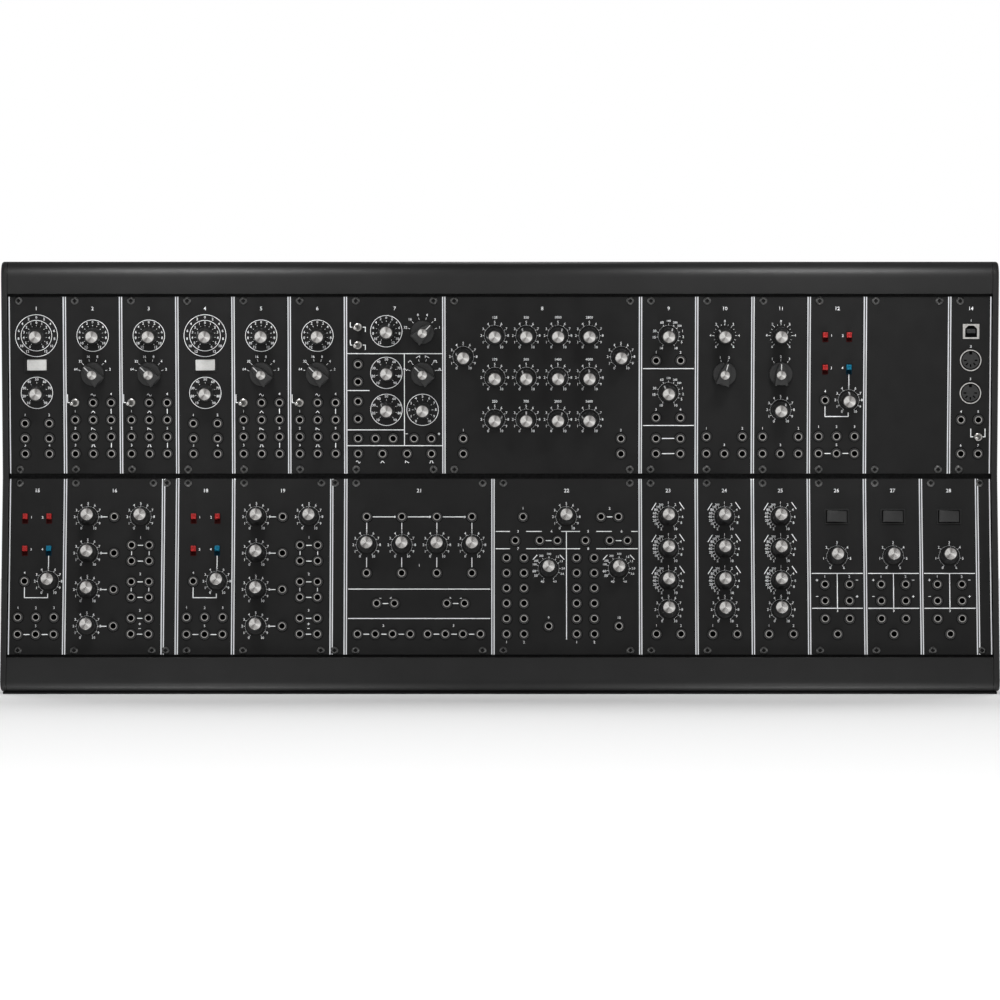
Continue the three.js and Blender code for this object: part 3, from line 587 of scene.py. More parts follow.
def rockerPaddle(kind, finish):
    proud, drop, flat, root, taper = valuesOf(rockerSettings, "proud drop flat root taper")
    length, width = rockerSettings[kind]
    half, low = length / 2, proud - drop
    crown, foot = half * flat, half - taper
    outline = [(-half, low), (-foot, -root), (foot, -root), (half, low), (crown, proud), (-crown, proud)]
    paddle = outlinePiece("paddle", outline, -width / 2, width / 2)
    moveMesh(paddle, standUp)
    roundEdges(paddle, rockerSettings["round"], 3, 30)
    dress(paddle, finish, angle=20)
    return paddle


def rockerBezel(kind, finish):
    gap, rim, proud, pocket = valuesOf(rockerSettings, "gap bezelWidth bezelProud pocket")
    x, y = (size / 2 + gap + rim for size in rockerSettings[kind])
    bezel = boxPiece("bezel", (-x, -y, -pocket - 1), (x, y, proud))
    stepTop(bezel, (rim, -pocket))
    roundEdges(bezel, rockerSettings["bezelRound"])
    dress(bezel, finish, angle=30)
    return bezel


slideSettings = {
    "width": 3.5, "cap": 3.6, "proud": 3, "travel": 3.1, "gap": 0.35, "stem": 1.2, "rim": 0.5, "depth": 1.5,
    "wellRoot": 2.6, "wellProud": 0.15, "capSteps": [(0.35, 0.5), (0.5, -0.6)], "round": 0.15,
}


def slideWell(finish):
    width, cap, travel, gap, rim, depth = valuesOf(slideSettings, "width cap travel gap rim depth")
    root, proud = valuesOf(slideSettings, "wellRoot wellProud")
    x = width / 2 + gap
    well = boxPiece("well", (-x, -cap / 2 - travel - gap, -root), (x, cap / 2 + gap, proud))
    stepTop(well, (rim, -depth))
    dress(well, finish)
    return well


def slideCap(finish):
    width, size, stem, proud, steps = valuesOf(slideSettings, "width cap stem proud capSteps")
    cap = boxPiece("cap", (-width / 2, -size / 2, -stem), (width / 2, size / 2, proud - steps[0][1]))
    stepTop(cap, *steps)
    roundEdges(cap, slideSettings["round"], angle=60)
    dress(cap, finish)
    return cap


toggleSettings = {
    "tilt": -12,
    "nut": 2.8,
    "bore": 1.85,
    "floor": 1.9,
    "top": 3.4,
    "collar": [(3.1, -0.5), (3.1, 0.5), (2.9, 0.7), (2.8, 0.7), (2.8, 1.5), (2.45, 1.7), (2.45, 2), (2.25, 2.1),
               (2.25, 2.3), (2.45, 2.4), (2.45, 3.1), (2.15, 3.4), (1.85, 3.4), (1.85, 1.9)],
    "lever": [(0.95, -1), (0.95, 3), (1.1, 5), (1.3, 7.5), (1.5, 9), (1.5, 9.6), (1.32, 10.1), (0.9, 10.4),
              (0.375, 10.5)],
}


def toggleCollar():
    nut, bore, floor, top = valuesOf(toggleSettings, "nut bore floor top")
    collar = turnedPiece("collar", 24, toggleSettings["collar"])
    dress(collar, "collar", "nut", "bore", "recessShade", angle=30)
    paintFaces(collar, 1, lambda c, n: c.z < 0.75 or c.xy.length > nut - 0.05)
    # Painted shade: the wall inside the bushing is painted black and its floor a darker steel
    paintFaces(collar, 2, lambda c, n: c.xy.length < bore + 0.01 and 0 < c.z < top - 0.1 and n.z < 0.9)
    paintFaces(collar, 3, lambda c, n: n.z > 0.9 and abs(c.z - floor) < 0.01)
    return collar


def toggleLever():
    lever = turnedPiece("lever", 20, toggleSettings["lever"])
    dress(lever, "lever", angle=50)
    return lever


knobSettings = {
    "sides": 36,
    "cap": 4.35,
    "skirt": 1.6,
    "height": 12.8,
    "steps": [(3, -0.5), (3, 0.6), (5.8, 0.6), (6.1, 0.9), (6.1, 1.6), (5.05, 12.4), (4.8, 12.8), (4.45, 12.8),
              (4.35, 12.7), (4.35, 13.2), (4.05, 13.5)],
}


def makeKnob():
    sides, cap, skirt, height, steps = valuesOf(knobSettings, "sides cap skirt height steps")
    knob = turnedPiece("knob", sides, steps, 180 / sides)
    dress(knob, "knob", "pointer", "cap", angle=30)
    paintFaces(knob, 1, lambda c, n: abs(c.x) < 0.1 and c.y > cap + 0.02 and skirt < c.z <= height)
    paintFaces(knob, 2, lambda c, n: c.xy.length < cap + 0.01 and c.z > height - 0.05)
    return knob


selectorSettings = {
    "disc": [(3, -0.5), (3, 0.6), (8.1, 0.6), (8.4, 0.9), (8.4, 3.2), (8, 3.6)],
    "grip": [(1.5, 8.6), (2, 6.6), (2.8, 4.6), (3.7, 2.4), (4, 0), (4.1, -2.5), (4.6, -5.5), (5, -7.2),
             (4.3, -7.8), (2, -7.1)],
    "gripRoot": 3,
    "gripRound": 0.5,
    "height": 12.2,
    "cap": [(3.35, 11.6), (3.35, 12.6), (3.05, 12.9)],
    "line": ((-0.35, 3.55, 11.8), (0.35, 8.1, 12.26)),
    "lineRim": 0.06,
}


def makeSelector():
    right, root, height = valuesOf(selectorSettings, "grip gripRoot height")
    disc = turnedPiece("disc", 48, selectorSettings["disc"])
    dress(disc, "selector", angle=30)
    grip = outlinePiece("grip", right + [(-x, y) for x, y in reversed(right)], root, height)
    startEdit(grip)
    pickEdges(grip, lambda end: end.z > height - 0.01)
    bevelEdges(selectorSettings["gripRound"], 3)
    endEdit()
    dress(grip, "selector", angle=40)
    cap = turnedPiece("cap", 32, selectorSettings["cap"])
    dress(cap, "cap", angle=30)
    line = boxPiece("line", *selectorSettings["line"])
    stepTop(line, (selectorSettings["lineRim"], 0))
    dress(line, "pointer")
    return joinPieces("selector", [disc, grip, cap, line])


jackSettings = {
    "sides": 12,
    "ring": 2.62,
    "ringStart": 0.82,
    "bore": 2.05,
    "nutStart": 0.3,
    "depth": 6,
    "hole": 2.7,
    "steps": [(2.5, -6.5), (4.5, 0.03), (4.5, 0.12), (3.75, 0.13), (3.75, 0.7), (2.62, 0.8), (2.52, 1.5),
              (2.15, 1.5), (2.05, -6)],
}


def makeJack():
    sides, ring, ringStart, bore, nutStart = valuesOf(jackSettings, "sides ring ringStart bore nutStart")
    jack = turnedPiece("jack", sides, jackSettings["steps"], 180 / sides)
    dress(jack, "nut", "ring", "bore", angle=35)
    paintFaces(jack, 1, lambda c, n: c.xy.length < ring and c.z > ringStart)
    # The bore is the jack's own black plastic; the low washer round the nut is painted black as a painted
    # shadow round the nut
    paintFaces(jack, 2, lambda c, n: c.xy.length < bore or c.z < nutStart)
    return jack


screwSettings = {
    "socket": 1.55,
    "recess": ((-1.65, -0.3, 0.3), (1.65, 0.3, 3)),
    "steps": [(1.5, -2.6), (1.5, 0.02), (2.75, 0.02), (2.75, 0.5), (2.45, 0.75), (1.9, 1.3), (1.55, 1.3),
              (0.7, 0.45), (0.6, -0.5)],
    "side": 7.5,
    "narrowSide": 2.4,
    "end": 3,
}


def makeScrew():
    socket = screwSettings["socket"]
    screw = turnedPiece("screw", 16, screwSettings["steps"])
    for turn in (0, 90):
        recess = boxPiece("recess", *screwSettings["recess"])
        moveMesh(recess, Matrix.Rotation(math.radians(turn), 4, "Z"))
        cutWith(screw, recess)
    dress(screw, "screw", "nut", "bore", angle=30)
    # Painted shade: the recess's sloping walls are painted dark plastic, its slots and floor black
    paintFaces(screw, 1, lambda c, n: c.xy.length < socket and 0.3 < n.z < 0.9)
    paintFaces(screw, 2, lambda c, n: c.xy.length < socket + 0.1 and c.z > -0.6 and (n.z < 0.1 or c.z < 0.45))
    return screw


usbSettings = {
    "frame": (12, 10.9), "opening": (8.5, 8.3), "corner": 2.2, "proud": 0.8, "depth": 2.4, "round": 0.2,
    "tongue": ((-3.2, -1.25, -3), (3.2, 1.85, 0.5)), "tongueRound": 0.25,
}


def usbSocket():
    proud, depth, cut = valuesOf(usbSettings, "proud depth corner")
    (width, height), (x, y) = ([size / 2 for size in usbSettings[name]] for name in ("frame", "opening"))
    body = boxPiece("frame", (-width, -height, -3), (width, height, proud))
    outline = [(-x, -y), (x, -y), (x, y - cut), (x - cut, y), (-x + cut, y), (-x, y - cut)]
    cutWith(body, outlinePiece("opening", outline, -depth, 3))
    roundEdges(body, usbSettings["round"])
    dress(body, "collar", "bore", angle=30)
    # Painted shade: the walls inside the opening are painted black
    paintFaces(body, 1, lambda c, n: abs(c.x) < x + 0.05 and abs(c.y) < y + 0.05 and c.z < proud - 0.25)
    tongue = boxPiece("tongue", *usbSettings["tongue"])
    roundEdges(tongue, usbSettings["tongueRound"])
    dress(tongue, "black")
    return joinPieces("usb", [body, tongue])


dinSettings = {
    "inner": 7,
    "ringStart": 0.9,
    "face": 0.5,
    "hole": 7.85,
    "steps": [(7.9, -3), (7.9, 1), (7.7, 1.2), (7.1, 1.2), (7, 1.1), (7, -1.6), (6.2, -1.6), (6.2, 0.5)],
    "pin": ((2.8, -0.5, -2), (5, 0.5, 3)),
    "pinTurns": (180, 225, 270, 315, 360),
    "key": ((-1.1, 4.2, -1.5), (1.1, 6.5, 3)),
}


def dinSocket():
    inner, ringStart, face = valuesOf(dinSettings, "inner ringStart face")
    body = turnedPiece("din", 40, dinSettings["steps"])
    for turn in dinSettings["pinTurns"]:
        pin = boxPiece("pin", *dinSettings["pin"])
        moveMesh(pin, Matrix.Rotation(math.radians(turn), 4, "Z"))
        cutWith(body, pin)
    cutWith(body, boxPiece("key", *dinSettings["key"]))
    dress(body, "black", "lever", "bore", angle=30)
    paintFaces(body, 1, lambda c, n: c.xy.length > inner - 0.02 and c.z > ringStart)
    # Painted shade: the gap round the insert and the pin holes are painted black
    paintFaces(body, 2, lambda c, n: c.xy.length < inner + 0.02 and c.z < face - 0.05)
    return body


masters = {
    "jacks": makeJack(),
    "screws": makeScrew(),
    "knobs": makeKnob(),
    "selectors": makeSelector(),
    "toggles": toggleLever(),
    "toggleSeats": toggleCollar(),
    "redSlides": slideCap("red"),
    "redSlideSeats": slideWell("redWell"),
    "blueSlides": slideCap("blue"),
    "blueSlideSeats": slideWell("blueWell"),
    "whiteRockers": rockerPaddle("whiteRockers", "white"),
    "whiteRockerSeats": rockerBezel("whiteRockers", "bezel"),
    "blackRockers": rockerPaddle("blackRockers", "black"),
    "blackRockerSeats": rockerBezel("blackRockers", "bezel"),
    "usbSockets": usbSocket(),
    "dinSockets": dinSocket(),
}
print("controls modelled:", {kind: len(master.data.polygons) for kind, master in masters.items()})


# What cuts a faceplate open: a tube under each round control, or a box a little inside its seat
def makeHoles():
    cut, inside, radius, sides = 5, 0.05, jackSettings["hole"], jackSettings["sides"]
    holes = {"jacks": turnedPiece("hole", sides, [(radius, -cut), (radius, cut)])}
    for kind in ("redSlides", "blueSlides", "whiteRockers", "blackRockers", "usbSockets"):
        places = [v.co for v in masters.get(kind[:-1] + "Seats", masters[kind]).data.vertices]
        low = [min(place[i] for place in places) + inside for i in (0, 1)]
        high = [max(place[i] for place in places) - inside for i in (0, 1)]
        holes[kind] = boxPiece("hole", (*low, -cut), (*high, cut))
    radius = dinSettings["hole"]
    holes["dinSockets"] = turnedPiece("hole", 40, [(radius, -cut), (radius, cut)])
    return holes


holes = makeHoles()


# Feet, long dark strips that also stand in for the shadow in the gap under the case, and the power entry with
# its switch in the rear wall

footSettings = {"width": 12, "inset": 1.5, "front": 10, "rear": 5, "round": 0.5}
powerSettings = {
    "inset": 60,
    "pitch": 22,
    "rise": 44,
    "body": (52, 20, 22),
    "inlet": 6,
    "inletProud": 1.6,
    "bore": 2.8,
    "pin": 1,
    "boreDepth": 9,
    "wall": 1.2,
    "round": 0.6,
}


def makeFeet():
    width, inset, front, back, rounding = valuesOf(footSettings, "width inset front rear round")
    half = shellLength / 2 + caseSettings["cheekThickness"] - inset
    feet = []
    # The strips run the full length, so the gap under the case shows dark rubber: feet, and painted shade where
    # the shadowed floor would be
    for start in (cadBox[0].y * 1000 + front, rearFace - back - width):
        foot = boxPiece("foot", (-half, start, 0), (half, start + width, caseSettings["footRise"]))
        roundEdges(foot, rounding)
        dress(foot, "rubberAndGapShade")
        moveMesh(foot, toMetres)
        feet.append(foot)
    settle("case_feet", feet)


def finishCase():
    seat, sheet = valuesOf(caseSettings, "seatGap sheet")
    rise, wall, radius, proud = valuesOf(powerSettings, "rise wall inlet inletProud")
    bore, depth, pin = valuesOf(powerSettings, "bore boreDepth pin")
    entryX = shellLength / 2 - powerSettings["inset"]
    inletX, switchX = entryX + powerSettings["pitch"] / 2, entryX - powerSettings["pitch"] / 2
    halfX, halfZ = (size / 2 + wall + seat for size in rockerSettings["powerRocker"])
    shell = makeShell()
    cutWith(shell, boxPiece("window", (switchX - halfX, rearFace - 4, rise - halfZ),
                            (switchX + halfX, rearFace + 2, rise + halfZ)))
    hole = turnedPiece("hole", 48, [(radius + seat, -4), (radius + seat, 4)])
    moveMesh(hole, Matrix.Translation((inletX, rearFace, rise)) @ standUp)
    cutWith(shell, hole)
    dress(shell, "coat", angle=30)
    moveMesh(shell, toMetres)
    settle("case_shell_sheet", [shell], "case_shell")
    settle("left_cheek_rounded", [makeCheek(-1)], "left_cheek")
    settle("right_cheek_rounded", [makeCheek(1)], "right_cheek")
    makeFeet()

    rear = toMetres @ Matrix.Translation((0, rearFace, rise)) @ Matrix.Rotation(math.pi, 4, "Z") @ standUp
    long, tall, deep = powerSettings["body"]
    back = -sheet - seat
    body = boxPiece("body", (-entryX - long / 2, -tall / 2, back - deep), (-entryX + long / 2, tall / 2, back))
    roundEdges(body, powerSettings["round"])
    dress(body, "black")
    bezel = rockerBezel("powerRocker", "black")
    moveMesh(bezel, Matrix.Translation((-switchX, 0, 0)))
    inlet = turnedPiece("inlet", 32, [
        (radius, back - 1), (radius, proud - 0.4), (radius - 0.4, proud),
        (bore + 0.3, proud), (bore, proud - 0.3), (bore, proud - depth),
        (pin, proud - depth), (pin, proud - 1.4), (pin - 0.4, proud - 1),
    ])
    dress(inlet, "black", "lever", angle=30)
    paintFaces(inlet, 1, lambda c, n: c.xy.length < pin + 0.05)
    moveMesh(inlet, Matrix.Translation((-inletX, 0, 0)))
    entry = joinPieces("entry", [body, bezel, inlet])
    moveMesh(entry, rear)
    settle("power_entry_moulding", [entry], "power_entry")

    paddle = rockerPaddle("powerRocker", "black")
    tilt = Matrix.Rotation(math.radians(rockerSettings["tilt"]), 4, "Y")
    moveMesh(paddle, rear @ Matrix.Translation((-switchX, 0, rockerSettings["bezelProud"])) @ tilt)
    settle("power_switch_paddle", [paddle], "power_switch", "power_switch")
    for node in ("upper_rail", "centre_rail", "lower_rail", "power_board"):
        finish = "board" if node == "power_board" else "rail"
        frame["nodes"][node].material_slots[0].material = finishes[finish]


finishCase()
print("case finished")


# Modules: places are shares of the width from the left and of the height from the top

def grid(columns, lines):
    return [(x, y) for y in lines for x in columns]


def across(left, right, *lines):
    return [[(left, y), (right, y)] for y in lines]


def down(top, bottom, *columns):
    return [[(x, top), (x, bottom)] for x in columns]


def evenly(words, first, step):
    return [(word, first + step * index) for index, word in enumerate(words.split())]


def wayOf(angle):
    return Vector((math.sin(math.radians(angle)), math.cos(math.radians(angle))))


# A knob or selector has the "plain" dial where its place names no other
driverPlaces = {
    "knobs": [(0.5, 0.22, "wide"), (0.5, 0.543, "percent")],
    "captions": grid([0.285, 0.715], [0.669, 0.841]),
    "whiteRockers": [(0.5, 0.385)],
    "jacks": grid([0.285, 0.715], [0.7155, 0.801, 0.8875]),
}
oscillatorPlaces = {
    "knobs": [(0.5, 0.22, "ring")],
    "selectors": [(0.5, 0.436, "range")],
    "toggles": [(0.18, 0.598)],
    "jacks": [(0.5, 0.598), (0.82, 0.598)] + grid([0.18, 0.5, 0.82], [0.695, 0.791, 0.887]),
    "lines": [[(0.045, 0.553), (0.045, 0.598), (0.08, 0.598)]]
    + down(0.634, 0.66, 0.82) + down(0.828, 0.854, 0.82),
    "symbols": [("sine", 0.5, 0.555), ("triangle", 0.5, 0.651), ("saw", 0.5, 0.747), ("square", 0.5, 0.843)],
    "captions": grid([0.18], [0.648, 0.744, 0.84]) + grid([0.82], [0.55, 0.744]),
}
waveTurns = evenly("sine triangle ramp saw square pulse", -75, 30)
voltageOscillatorPlaces = {
    "knobs": [(0.415, 0.195, "ring"), (0.415, 0.43, "percent"), (0.415, 0.639, "percent"),
              (0.783, 0.639, "ringTen")],
    "selectors": [(0.783, 0.2, "octave"), (0.783, 0.436, "wave")],
    "toggles": [(0.126, 0.1715), (0.126, 0.273)],
    "jacks": grid([0.126], [0.382, 0.48, 0.591, 0.69]) + grid([0.126, 0.3025, 0.482, 0.696, 0.872], [0.801])
    + grid([0.126, 0.374, 0.625, 0.873], [0.887]),
    "lines": [line for y, top, bottom in ((0.172, 0.145, 0.198), (0.273, 0.245, 0.299)) for line in (
        [(0.049, top), (0.049, y), (0.066, y)], [(0.178, y), (0.202, y), (0.202, bottom)])]
    + across(0.02, 0.98, 0.3215, 0.842) + down(0.3215, 0.842, 0.598) + across(0.02, 0.24, 0.53)
    + across(0.02, 0.598, 0.7527),
    "symbols": [("sine", 0.126, 0.934), ("triangle", 0.374, 0.934), ("saw", 0.625, 0.934),
                ("square", 0.873, 0.934), ("minus", 0.62, 0.775), ("plus", 0.95, 0.775)]
    + [(shape, 0.783 + 0.18 * wayOf(turn).x, 0.436 - 0.1 * wayOf(turn).y) for shape, turn in waveTurns],
}
bankGrid = grid([0.259, 0.419, 0.5805, 0.74], [0.22, 0.457, 0.694])
bankWords = "125 350 1000 2800 175 500 1400 4000 250 700 2000 5600".split()
filterBankPlaces = {
    "knobs": grid([0.0987, 0.9013], [0.339]) + bankGrid,
    "jacks": grid([0.0987, 0.9013], [0.801, 0.8875]),
    "words": [(word, x, y - 0.102) for word, (x, y) in zip(bankWords, bankGrid)],
    "captions": grid([0.0987, 0.9013], [0.755]),
}
twinFilterPlaces = {
    "knobs": [(0.5, 0.22, "band"), (0.5, 0.543, "band")],
    "jacks": grid([0.28, 0.715], [0.36, 0.683, 0.801, 0.887]),
    "lines": across(0.05, 0.95, 0.406, 0.7276) + across(0.38, 0.62, 0.801, 0.887),
    "captions": grid([0.28, 0.715], [0.315, 0.638]),
}
highPassPlaces = {
    "knobs": [(0.5, 0.22, "fixedVoltage")],
    "selectors": [(0.5, 0.436, "highPass")],
    "jacks": grid([0.18, 0.82], [0.791]) + grid([0.18, 0.5, 0.82], [0.887]),
    "captions": grid([0.18, 0.82], [0.744]) + [(0.5, 0.838)],
}
lowPassPlaces = dict(
    highPassPlaces, knobs=[(0.5, 0.22, "fixedVoltage"), (0.5, 0.639)], selectors=[(0.5, 0.436, "lowPass")],
)
controllerPlaces = {
    "knobs": [(0.712, 0.584)],
    "redSlides": [(0.29, 0.215), (0.714, 0.215), (0.29, 0.398)],
    "blueSlides": [(0.714, 0.398)],
    "jacks": [(0.291, 0.584)] + grid([0.18, 0.5, 0.82], [0.789, 0.886]),
    "lines": [[(0.291, 0.62), (0.291, 0.677), (0.705, 0.677), (0.705, 0.655)]] + down(0.44, 0.5, 0.714)
    + across(0.29, 0.39, 0.886) + across(0.61, 0.71, 0.886),
    "words": [("1", 0.4, 0.22), ("2", 0.6, 0.22), ("3", 0.4, 0.403), ("4", 0.6, 0.403), ("1", 0.18, 0.735),
              ("2", 0.5, 0.735), ("3", 0.82, 0.735), ("4", 0.291, 0.536), ("5", 0.5, 0.838)],
}
mixerRows, mixerInputs = [0.217, 0.424, 0.631, 0.839], [0.379, 0.469, 0.587, 0.675, 0.794, 0.884]
mixerPlaces = {
    "knobs": [(0.769, 0.217)] + grid([0.233], mixerRows),
    "jacks": grid([0.501], mixerRows) + grid([0.68, 0.859], mixerInputs),
    "lines": across(0.38, 0.43, *mixerRows) + across(0.745, 0.795, *mixerInputs)
    + down(0.41, 0.437, 0.68, 0.859) + down(0.618, 0.645, 0.68, 0.859),
    "symbols": [("plus", 0.77, 0.826), ("minus", 0.77, 0.852)],
    "captions": grid([0.77], [0.335, 0.543, 0.75]),
}
attenuatorColumns = [0.143, 0.381, 0.619, 0.857]
multipleColumns = [0.083, 0.203, 0.3205, 0.44, 0.558, 0.6775, 0.7965, 0.915]
attenuatorPlaces = {
    "knobs": grid(attenuatorColumns, [0.377]),
    "jacks": grid([0.212, 0.332, 0.687, 0.807], [0.71]) + grid(multipleColumns, [0.884])
    + grid(attenuatorColumns, [0.217, 0.5376]),
    "lines": down(0.252, 0.288, *attenuatorColumns) + down(0.45, 0.505, *attenuatorColumns)
    + across(0.02, 0.98, 0.628, 0.795) + across(0.247, 0.297, 0.71) + across(0.722, 0.772, 0.71)
    + [[(x + 0.034, 0.884), (x + 0.086, 0.884)] for x in multipleColumns if x not in (0.44, 0.915)]
    + [[(x + 0.04, 0.217), (x + 0.195, 0.217)] for x in attenuatorColumns[:3]],
    "symbols": [("arrow", x + 0.195, 0.217) for x in attenuatorColumns[:3]]
    + [("minus", 0.235, 0.68), ("plus", 0.31, 0.68), ("plus", 0.71, 0.68), ("minus", 0.785, 0.68)],
    "captions": [(0.5, 0.494), (0.2575, 0.836), (0.733, 0.836)],
}
triggerRules = [
    (0.02, 0.113, 0.3), (0.227, 0.329, 0.3), (0.465, 0.589, 0.3), (0.703, 0.805, 0.3), (0.94, 0.98, 0.3),
    (0.02, 0.113, 0.3986), (0.227, 0.589, 0.3986), (0.703, 0.98, 0.3986),
    (0.77, 0.815, 0.217), (0.355, 0.4, 0.3525), (0.83, 0.875, 0.3525),
]
triggerPlaces = {
    "knobs": [(0.498, 0.217), (0.377, 0.511, "delay"), (0.853, 0.511, "delay")],
    "jacks": grid([0.204, 0.733, 0.852], [0.217]) + grid([0.151, 0.317, 0.437, 0.627, 0.792, 0.912], [0.3525])
    + grid([0.377, 0.853], [0.839])
    + grid([0.092, 0.21, 0.567, 0.6865], [0.4515, 0.5376, 0.6236, 0.71, 0.7967, 0.884]),
    "lines": [[(left, y), (right, y)] for left, right, y in triggerRules] + down(0.3, 0.913, 0.498)
    + [[(x + side * 0.078, 0.435), (x + side * 0.105, 0.459)] for x in (0.377, 0.853) for side in (-1, 1)],
    "words": [("1", 0.092, 0.93), ("2", 0.21, 0.93), ("1", 0.567, 0.93), ("2", 0.6865, 0.93)],
    "captions": grid([0.204, 0.792], [0.169]) + grid([0.17, 0.397, 0.646, 0.873], [0.3])
    + grid([0.17, 0.646], [0.3986]) + grid([0.377, 0.853], [0.791]),
}
envelopeRows = [0.217, 0.399, 0.581]
envelopePlaces = {
    "knobs": [(0.5, y, "time") for y in envelopeRows] + [(0.5, 0.745)],
    "jacks": grid([0.28, 0.715], [0.884]),
    "lines": [line for y in envelopeRows for line in (
        [(0.28, y - 0.078), (0.205, y - 0.04)], [(0.7, y - 0.083), (0.78, y - 0.046)])],
    "captions": grid([0.28, 0.715], [0.836]),
}
amplifierPlaces = {
    "knobs": [(0.5, 0.441, "amplifier")],
    "blackRockers": [(0.5, 0.216)],
    "jacks": [(0.5, 0.884)] + grid([0.28, 0.715], [0.602, 0.6954, 0.7967]),
    "lines": across(0.05, 0.95, 0.539, 0.737) + down(0.539, 0.737, 0.5),
    "symbols": [("plus", 0.14, 0.577), ("minus", 0.14, 0.67), ("minus", 0.85, 0.577), ("plus", 0.85, 0.67)],
    "captions": grid([0.28, 0.715], [0.558]) + [(0.5, 0.752)],
}
converterPlaces = {
    "toggles": [(0.7, 0.792)],
    "usbSockets": [(0.51, 0.196)],
    "dinSockets": [(0.506, 0.359), (0.506, 0.544)],
    "jacks": grid([0.287, 0.7], [0.695, 0.887]),
    "lines": [[(x, 0.747), (x, 0.792), (end, 0.792)] for x, end in ((0.523, 0.58), (0.863, 0.81))],
    "captions": [(0.51, 0.136), (0.506, 0.281), (0.506, 0.466)] + grid([0.287, 0.7], [0.65, 0.842]),
}

# Each module: name, units of width, places, pointer angles of its knobs and selectors, moving controls
oscillatorAngles = {"knobs": [-114], "selectors": [-45]}
upperModules = [
    ("oscillator_driver_1", 8, driverPlaces, {"knobs": [-60, -84]},
     {("knobs", 0): "driver_frequency_knob", ("whiteRockers", 0): "driver_range_rocker"}),
    ("oscillator_1", 8, oscillatorPlaces, oscillatorAngles,
     {("knobs", 0): "oscillator_frequency_knob", ("selectors", 0): "oscillator_range_selector",
      ("toggles", 0): "oscillator_sync_toggle"}),
    ("oscillator_2", 8, oscillatorPlaces, oscillatorAngles),
    ("oscillator_driver_2", 8, driverPlaces, {"knobs": [-60, -81]}),
    ("oscillator_3", 8, oscillatorPlaces, oscillatorAngles),
    ("oscillator_4", 8, oscillatorPlaces, oscillatorAngles),
    ("voltage_oscillator", 14, voltageOscillatorPlaces, {"knobs": [22, 39, -42, -72], "selectors": [45, -45]},
     {("knobs", 0): "voltage_oscillator_tune_knob", ("selectors", 0): "voltage_oscillator_octave_selector",
      ("toggles", 0): "voltage_oscillator_sync_toggle"}),
    ("filter_bank", 28, filterBankPlaces,
     {"knobs": [-66, 66, -99, -30, 30, 99, -123, -30, 66, -3, 66, 0, 30, -66]},
     {("knobs", 2): "filter_bank_level_knob"}),
    ("twin_filter", 8, twinFilterPlaces, {"knobs": [27, -30]}, {("knobs", 0): "twin_filter_cutoff_knob"}),
    ("high_pass_filter", 8, highPassPlaces, {"knobs": [-45], "selectors": [15]},
     {("selectors", 0): "high_pass_range_selector"}),
    ("low_pass_filter", 8, lowPassPlaces, {"knobs": [57, 39], "selectors": [0]},
     {("knobs", 0): "low_pass_cutoff_knob", ("selectors", 0): "low_pass_range_selector"}),
    ("control_voltage_panel", 8, controllerPlaces, {}, {("blueSlides", 0): "reference_voltage_slide"}),
    ("wide_blank_panel", 12),
    ("midi_converter", 6, converterPlaces, {}, {("toggles", 0): "midi_mode_toggle"}),
]
lowerModules = [
    ("oscillator_controller_1", 8, controllerPlaces, {}, {("redSlides", 0): "controller_slide"}),
    ("mixer_1", 14, mixerPlaces, {}, {("knobs", 0): "mixer_master_knob"}),
    ("narrow_blank_panel_1", 2),
    ("oscillator_controller_2", 8, controllerPlaces),
    ("mixer_2", 14, mixerPlaces),
    ("narrow_blank_panel_2", 2),
    ("attenuator_panel", 21, attenuatorPlaces, {}, {("knobs", 0): "attenuator_knob"}),
    ("trigger_interface", 21, triggerPlaces, {}, {("knobs", 0): "trigger_sensitivity_knob"}),
    ("envelope_1", 8, envelopePlaces, {}, {("knobs", 0): "envelope_attack_knob"}),
    ("envelope_2", 8, envelopePlaces),
    ("envelope_3", 8, envelopePlaces),
    ("amplifier_1", 8, amplifierPlaces, {},
     {("blackRockers", 0): "amplifier_response_rocker", ("knobs", 0): "amplifier_gain_knob"}),
    ("amplifier_2", 8, amplifierPlaces),
    ("amplifier_3", 8, amplifierPlaces),
    ("narrow_blank_panel_3", 2),
]
moduleSettings = {
    "stripInset": 0.25,
    "stripWidth": 0.8,
    "boardBehind": 10,
    "boardThickness": 1.6,
    "boardEnd": 10.5,
    "boardSide": 2.5,
    "chips": (0.2, 0.45, 0.7),
    "chipSize": (10, 6.4, 3.4),
    "postSize": (7, 60),
    "panelRound": 0.15,
    "boardRound": 0.2,
    "chipRound": 0.4,
    "postRound": 0.5,
    "titleHeight": 0.068,
}
controlKinds = ["jacks", "knobs", "selectors", "toggles", "redSlides", "blueSlides", "whiteRockers",
                "blackRockers", "usbSockets", "dinSockets"]


def spotOf(width, x, y):
    return Vector((x * width, (1 - y) * caseSettings["panelHeight"], 0))


def poseOf(kind, index, angles):
    if kind in angles:
        return Matrix.Rotation(math.radians(-angles[kind][index]), 4, "Z")
    if kind == "toggles":
        return Matrix.Rotation(math.radians(toggleSettings["tilt"]), 4, "Y")
    if kind.endswith("Rockers"):
        return Matrix.Rotation(math.radians(rockerSettings["tilt"]), 4, "Y")
    return Matrix.Identity(4)


